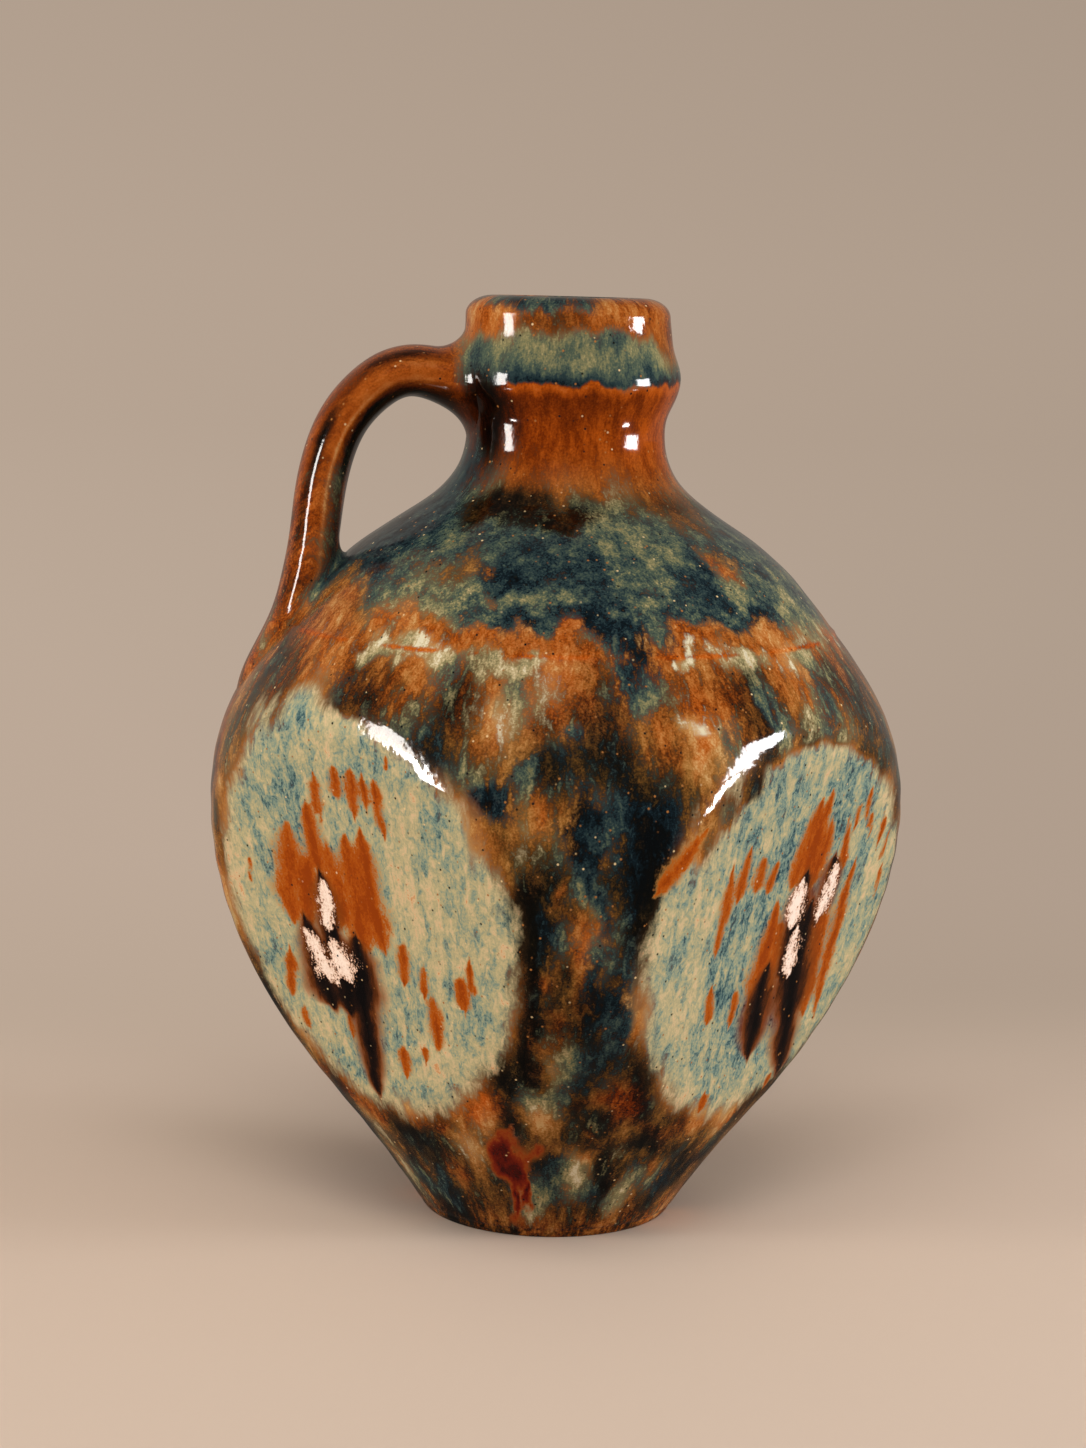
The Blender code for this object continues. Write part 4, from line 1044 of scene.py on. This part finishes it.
# The colours of each glaze, and the tone that picks between them.
COLOURS = {
    "brown_iron": ("iron_tone", (
        (0.0, "#c2a06c"), (0.2, "#aa7a42"), (0.38, "#8c5f2a"), (0.55, "#65441c"), (0.72, "#3f2d14"),
        (0.88, "#1c160c"), (1.0, "#080704"),
    )),
    "amber_iron": ("iron_tone", (
        (0.0, "#cf8f4e"), (0.2, "#bd6422"), (0.38, "#a64b0a"), (0.55, "#722c02"), (0.72, "#401602"),
        (0.88, "#1a0903"), (1.0, "#070302"),
    )),
    "rutile": ("rutile_tone", (
        (0.0, "#03070a"), (0.18, "#0d1d25"), (0.34, "#27393c"), (0.5, "#4d5a4b"), (0.64, "#7b7854"),
        (0.8, "#ac9c72"), (0.9, "#c4b48e"), (1.0, "#dad2b4"),
    )),
    "panel_rim": ("iron_tone", ((0.0, "#bc8d50"), (0.4, "#9a5a20"), (0.7, "#683b14"), (1.0, "#2e1f0e"))),
    "celadon": ("panel_tone", (
        (0.0, "#17323f"), (0.16, "#3d5a60"), (0.34, "#748b80"), (0.48, "#979c80"), (0.62, "#b0a77f"),
        (0.76, "#c1b088"), (0.90, "#d0b48d"), (1.0, "#c58f5c"),
    )),
    "oxblood": ("oxblood_pools", ((0.0, "#9c4812"), (0.3, "#7c2207"), (0.6, "#560e04"), (1.0, "#2a0503"))),
    "rust": ("rust_strokes", ((0.0, "#ab7a40"), (0.25, "#aa5f1d"), (0.6, "#a44c0b"), (1.0, "#8c3904"))),
    "lustre": ("lustre_pools", ((0.0, "#7a3a0c"), (0.3, "#4a2309"), (0.6, "#1c0e09"), (1.0, "#060304"))),
    "pearl": ("pearl_pools", ((0.0, "#5c3622"), (0.24, "#b4886c"), (0.55, "#ebcfbc"), (1.0, "#f9e6d8"))),
}
# The layers over the brown iron glaze, from the bottom up: which tone, where its edge starts and ends,
# and the colours that it lays down.
LAYERS = (
    ("amber_share", 0.0, 1.0, "amber_iron"),
    ("rutile_cover", 0.14, 0.86, "rutile"),
    ("oxblood_pools", -0.35, 0.15, "oxblood"),
    ("panel_ground", -1.1, 0.5, "panel_rim"),
    ("panel_ground", -0.3, 1.6, "celadon"),
    ("rust_strokes", -0.55, 0.5, "rust"),
    ("lustre_pools", -1.1, 0.3, "lustre"),
    ("pearl_pools", -0.05, 0.4, "pearl"),
)
# Round specks of cream, black and tan: their spacing and radius in mm, the share of places that stay
# empty, and their colour. The real ones are as small as 0.2 mm across, too fine to show, so all are
# drawn at 0.8 mm, as the largest are.
SPECKS = (
    (3.3, 0.40, 0.56, "#dcc08f"),
    (2.8, 0.44, 0.50, "#171a18"),
    (2.4, 0.41, 0.50, "#9c6634"),
)
# The share of a speck's radius that is solid, and the share of places whose specks are faint.
SPECK_CORE, SPECK_FADE = 0.4, 0.15
# Glass fired glossy: its roughness and IOR, and the depth of the soft waves that it pools in.
GLAZE_ROUGHNESS, GLAZE_IOR, GLAZE_WAVES = 0.09, 1.5, 0.12 * MM


# Reactive glaze, fired on thrown stoneware. To the eye it is wet, thick glass: sharp reflections that
# ripple where it pooled, over rust, amber and black iron, broken by runs of blue and cream rutile.
# On the handle the same tones also carry painted shade and a painted highlight line.
def reactive_glaze():
    material = bpy.data.materials.new("reactive_glaze_on_stoneware")
    material.use_nodes = True
    tree = material.node_tree
    shader = tree.nodes["Principled BSDF"]
    shader.inputs["Roughness"].default_value = GLAZE_ROUGHNESS
    shader.inputs["IOR"].default_value = GLAZE_IOR
    masks = {
        name: add_node(tree, "Attribute", {"attribute_name": name})
        for name in (*TONES, *PATTERN_SHARES, "run_place")
    }
    own_place = add_node(tree, "TexCoord")["Object"]
    places = {"run_place": masks["run_place"]["Vector"], "object": own_place}
    patterns, tones, colours = {}, {}, {}
    for name, (laid_on, size, layers, stretch, curl, shift, share) in PATTERNS.items():
        moves = {"Vector": places[laid_on], "Scale": (1, 1, 1 / stretch), "Location": (shift, shift, shift)}
        grain = {"Vector": add_node(tree, "Mapping", None, moves)[0], "Scale": 1 / (size * MM)}
        grain |= {"Detail": layers, "Roughness": PATTERN_ROUGHNESS, "Distortion": curl}
        noise = add_node(tree, "TexNoise", {"normalize": False}, grain)[0]
        terms = {0: noise, 1: masks[share]["Fac"]}
        patterns[name] = add_node(tree, "Math", {"operation": "MULTIPLY"}, terms)[0]
    moves = {"Vector": places["run_place"], "Scale": (1, 1, 1 / TONGUE_STRETCH)}
    cells = {"Vector": add_node(tree, "Mapping", None, moves)[0], "Scale": 1 / TONGUE_WIDTH}
    cells |= {"Smoothness": TONGUE_SOFTNESS}
    cells = add_node(tree, "TexVoronoi", {"feature": "SMOOTH_F1"}, cells)["Distance"]
    signed = {"Value": cells, "From Min": TONGUE_DISTANCES[0], "From Max": TONGUE_DISTANCES[1]}
    signed |= {"To Min": -1.0, "To Max": 1.0}
    terms = {0: add_node(tree, "MapRange", {"clamp": False}, signed)[0]}
    terms |= {1: masks["tongue_share"]["Fac"]}
    patterns["tongues"] = add_node(tree, "Math", {"operation": "MULTIPLY"}, terms)[0]
    for name, parts in TONES.items():
        tones[name] = masks[name]["Fac"]
        for pattern, weight in parts:
            terms = {0: patterns[pattern], 1: weight, 2: tones[name]}
            tones[name] = add_node(tree, "Math", {"operation": "MULTIPLY_ADD"}, terms)[0]
    for name, (tone, stops) in COLOURS.items():
        colours[name] = add_node(tree, "ValToRGB", None, {"Fac": tones[tone]}, stops)[0]
    colour = colours["brown_iron"]
    for name, start, end, over in LAYERS:
        edge = {"Value": tones[name], "From Min": start, "From Max": end}
        factor = add_node(tree, "MapRange", SMOOTH, edge)[0]
        layer = {0: factor, 6: colour, 7: colours[over]}
        colour = add_node(tree, "Mix", {"data_type": "RGBA"}, layer)[2]
    for spacing, radius, empty, code in SPECKS:
        rim = radius / spacing
        cells = {"Vector": own_place, "Scale": 1 / (spacing * MM)}
        cells = add_node(tree, "TexVoronoi", None, cells)
        edge = {"Value": cells["Distance"], "From Min": rim, "From Max": SPECK_CORE * rim}
        spot = add_node(tree, "MapRange", SMOOTH, edge)[0]
        edge = {"Value": cells["Color"], "From Min": empty, "From Max": empty + SPECK_FADE}
        chosen = add_node(tree, "MapRange", None, edge)[0]
        spot = add_node(tree, "Math", {"operation": "MULTIPLY"}, {0: spot, 1: chosen})[0]
        layer = {0: spot, 6: colour, 7: srgb(code)}
        colour = add_node(tree, "Mix", {"data_type": "RGBA"}, layer)[2]
    tree.links.new(colour, shader.inputs["Base Color"])
    waves = {"Height": patterns["clouds"], "Distance": GLAZE_WAVES, "Strength": 1.0}
    tree.links.new(add_node(tree, "Bump", None, waves)[0], shader.inputs["Normal"])
    return material


glaze = reactive_glaze()
for item, nodes, slot in (
    (foot, ("foot_ring",), "foot_clay"),
    (bowl, ("bowl",), "belly_glaze"),
    (shoulder, ("shoulder",), "shoulder_glaze"),
    (neck, ("neck",), "neck_glaze"),
    (collar, ("collar",), "collar_glaze"),
    (handle, ("handle_strap", "upper_roll", "lower_roll"), "handle_glaze"),
):
    item.data.materials.append(glaze)
    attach(item, "root")
    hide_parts(*nodes)


# The camera, fitted to the photograph's outline. The focal length is in the photograph's pixels.
CAMERA_FOCUS = 2999.8
CAMERA_DISTANCE = 0.77473
CAMERA_HEIGHT = 0.24387
CAMERA_TURN = 0.08724
CAMERA_YAW = 0.00495
CAMERA_PITCH = 0.148
CAMERA_ROLL = 0.0259
PHOTO_HEIGHT = 1448
SENSOR = 36


def add_camera():
    """The photograph's camera: a long lens, a little above the rim and looking slightly down."""
    data = bpy.data.cameras.new("photograph_camera")
    data.sensor_width = SENSOR
    data.lens = SENSOR * CAMERA_FOCUS / PHOTO_HEIGHT
    camera = bpy.data.objects.new("photograph_camera", data)
    bpy.context.scene.collection.objects.link(camera)
    turn = Matrix.Rotation(-CAMERA_TURN, 4, "Z")
    look = Matrix.Rotation(CAMERA_YAW, 4, "Z") @ Matrix.Rotation(math.pi / 2 - CAMERA_PITCH, 4, "X")
    look = look @ Matrix.Rotation(CAMERA_ROLL, 4, "Z")
    camera.matrix_world = turn @ Matrix.Translation((0, -CAMERA_DISTANCE, CAMERA_HEIGHT)) @ look
    bpy.context.scene.camera = camera


# The lamps: place, point that they face, width and height in metres, power in watts, and colour. The two
# side softboxes draw the highlights on the collar, the handle and the panels' upper edges. The low strips
# only lift the silhouette near the floor, and the key lights everything and isn't reflected.
SOFTBOXES = {
    "left_softbox": ((-0.96, -0.29, 0.22), (0, 0, 0.17), (0.20, 0.46), 6.0, "#fffaf4"),
    "right_softbox": ((0.99, -0.24, 0.22), (0, 0, 0.17), (0.30, 0.36), 8.0, "#fdfdff"),
    "left_low_strip": ((-0.29, -0.127, 0.045), (0, 0, 0.10), (0.035, 0.10), 0.14, "#fffaf4"),
    "right_low_strip": ((0.29, -0.113, 0.045), (0, 0, 0.10), (0.045, 0.10), 0.16, "#fffdfa"),
    "key_softbox": ((-0.1, -0.9, 1.3), (0, 0, 0.1), (1.1, 0.9), 12.0, "#fffaf5"),
}
LOW_STRIP_SPREAD = math.radians(27)


def hang_lamps():
    """The rectangular studio lamps, each turned to face its point."""
    for name, (place, aim, size, power, colour) in SOFTBOXES.items():
        data = bpy.data.lights.new(name, "AREA")
        data.shape = "RECTANGLE"
        data.size, data.size_y = size
        data.energy = power
        data.color = srgb(colour)[:3]
        lamp = bpy.data.objects.new(name, data)
        bpy.context.scene.collection.objects.link(lamp)
        lamp.location = place
        lamp.rotation_euler = (Vector(aim) - Vector(place)).to_track_quat("-Z", "Y").to_euler()
        lamp.visible_glossy = name != "key_softbox"
        if "low_strip" in name:
            lamp.visible_diffuse = False
            data.spread = LOW_STRIP_SPREAD


# The backdrop's own colour by distance from the vase in metres, as a share of its reach.
BACKDROP_REACH = 4.0
BACKDROP_COLOURS = (
    (0.0, "#b8a391"), (0.06, "#b9a593"), (0.12, "#bba796"), (0.35, "#baa796"), (1.0, "#b7a493"),
)
FLOOR_RADIUS = 30
# Paper's own colour, roughness and faint gloss, which the floor near the vase shows.
PAPER_COLOUR, PAPER_ROUGHNESS, PAPER_GLOSS = "#d3c0b0", 0.9, 0.1
# Distances round the vase, and behind it, over which lit paper passes into the evenly bright sweep.
LIT_AROUND, LIT_BEHIND = (0.25, 0.7), (0.04, 0.26)
# The backdrop is a little darker to the right, by sideways direction, and high up.
TO_THE_SIDE = {"From Min": -0.2, "From Max": 0.35, "To Min": 1.02, "To Max": 0.88}
HIGH_UP = {"From Max": 0.1, "To Min": 1.0, "To Max": 0.93}
# What the glaze reflects: a dim room, brighter behind the vase. For the floor, distances behind and
# brightness; for the air, the same by direction; and the even light that everything else gets.
ROOM_COLOUR = "#a89c90"
FLOOR_ROOM = {"From Min": 0.1, "From Max": 0.5, "To Min": 0.16, "To Max": 0.55}
AIR_ROOM = {"From Min": 0.35, "From Max": 0.95, "To Min": 0.16, "To Max": 0.65}
EVEN_COLOUR, EVEN_BRIGHTNESS = "#cdc3b8", 0.55


def side_brightness(tree, place):
    """The backdrop's brightness by the sideways part of a direction."""
    direction = add_node(tree, "VectorMath", {"operation": "NORMALIZE"}, {0: place})[0]
    sideways = add_node(tree, "SeparateXYZ", None, {0: direction})["X"]
    return add_node(tree, "MapRange", None, {"Value": sideways, **TO_THE_SIDE})[0]


# Matt backdrop paper in one sweep. To the eye it has no sheen and no edge: it takes the vase's soft
# shadow near by, and is evenly bright farther back.
def backdrop_paper():
    material = bpy.data.materials.new("matt_backdrop_paper")
    material.use_nodes = True
    tree = material.node_tree
    shader = tree.nodes["Principled BSDF"]
    shader.inputs["Base Color"].default_value = srgb(PAPER_COLOUR)
    shader.inputs["Roughness"].default_value = PAPER_ROUGHNESS
    shader.inputs["Specular IOR Level"].default_value = PAPER_GLOSS
    place = add_node(tree, "TexCoord")["Object"]
    distance = add_node(tree, "VectorMath", {"operation": "LENGTH"}, {0: place})["Value"]
    behind = add_node(tree, "SeparateXYZ", None, {0: place})["Y"]
    share = {"Value": distance, "From Max": BACKDROP_REACH}
    share = add_node(tree, "MapRange", None, share)[0]
    colour = add_node(tree, "ValToRGB", None, {"Fac": share}, BACKDROP_COLOURS)[0]
    glow = {"Color": colour, "Strength": side_brightness(tree, place)}
    glow = add_node(tree, "Emission", None, glow)[0]
    fades = []
    for value, (start, end) in ((distance, LIT_AROUND), (behind, LIT_BEHIND)):
        fade = {"Value": value, "From Min": start, "From Max": end}
        fades.append(add_node(tree, "MapRange", SMOOTH, fade)[0])
    fade = add_node(tree, "Math", {"operation": "MAXIMUM"}, dict(enumerate(fades)))[0]
    blend = add_node(tree, "MixShader", None, {0: fade, 1: shader.outputs[0], 2: glow})[0]
    room = add_node(tree, "MapRange", SMOOTH, {"Value": behind, **FLOOR_ROOM})[0]
    dim = {"Color": srgb(ROOM_COLOUR), "Strength": room}
    dim = add_node(tree, "Emission", None, dim)[0]
    mirrored = add_node(tree, "LightPath")["Is Glossy Ray"]
    blend = add_node(tree, "MixShader", None, {0: mirrored, 1: blend, 2: dim})[0]
    tree.links.new(blend, tree.nodes["Material Output"].inputs["Surface"])
    return material


def studio_air():
    """The far backdrop as the camera sees it, a dim room in the reflections, and even light elsewhere."""
    world = bpy.data.worlds.new("studio")
    bpy.context.scene.world = world
    world.use_nodes = True
    tree = world.node_tree
    way = add_node(tree, "TexCoord")["Generated"]
    parts = add_node(tree, "SeparateXYZ", None, {0: way})
    falloff = add_node(tree, "MapRange", None, {"Value": parts["Z"], **HIGH_UP})[0]
    terms = {0: falloff, 1: side_brightness(tree, way)}
    seen = add_node(tree, "Math", {"operation": "MULTIPLY"}, terms)[0]
    room = add_node(tree, "MapRange", SMOOTH, {"Value": parts["Y"], **AIR_ROOM})[0]
    lights = ((EVEN_COLOUR, EVEN_BRIGHTNESS), (ROOM_COLOUR, room), (BACKDROP_COLOURS[-1][1], seen))
    even, dim, backdrop = (
        add_node(tree, "Background", None, {"Color": srgb(code), "Strength": strength})[0]
        for code, strength in lights
    )
    rays = add_node(tree, "LightPath")
    for ray, over in (("Is Glossy Ray", dim), ("Is Camera Ray", backdrop)):
        even = add_node(tree, "MixShader", None, {0: rays[ray], 1: even, 2: over})[0]
    tree.links.new(even, tree.nodes["World Output"].inputs["Surface"])


hang_lamps()
bpy.ops.mesh.primitive_circle_add(vertices=128, radius=FLOOR_RADIUS, fill_type="NGON", location=(0, 0, 0))
floor = bpy.context.active_object
floor.name = "backdrop_floor"
floor.data.materials.append(backdrop_paper())
studio_air()
add_camera()
bpy.context.scene.view_settings.view_transform = "Standard"
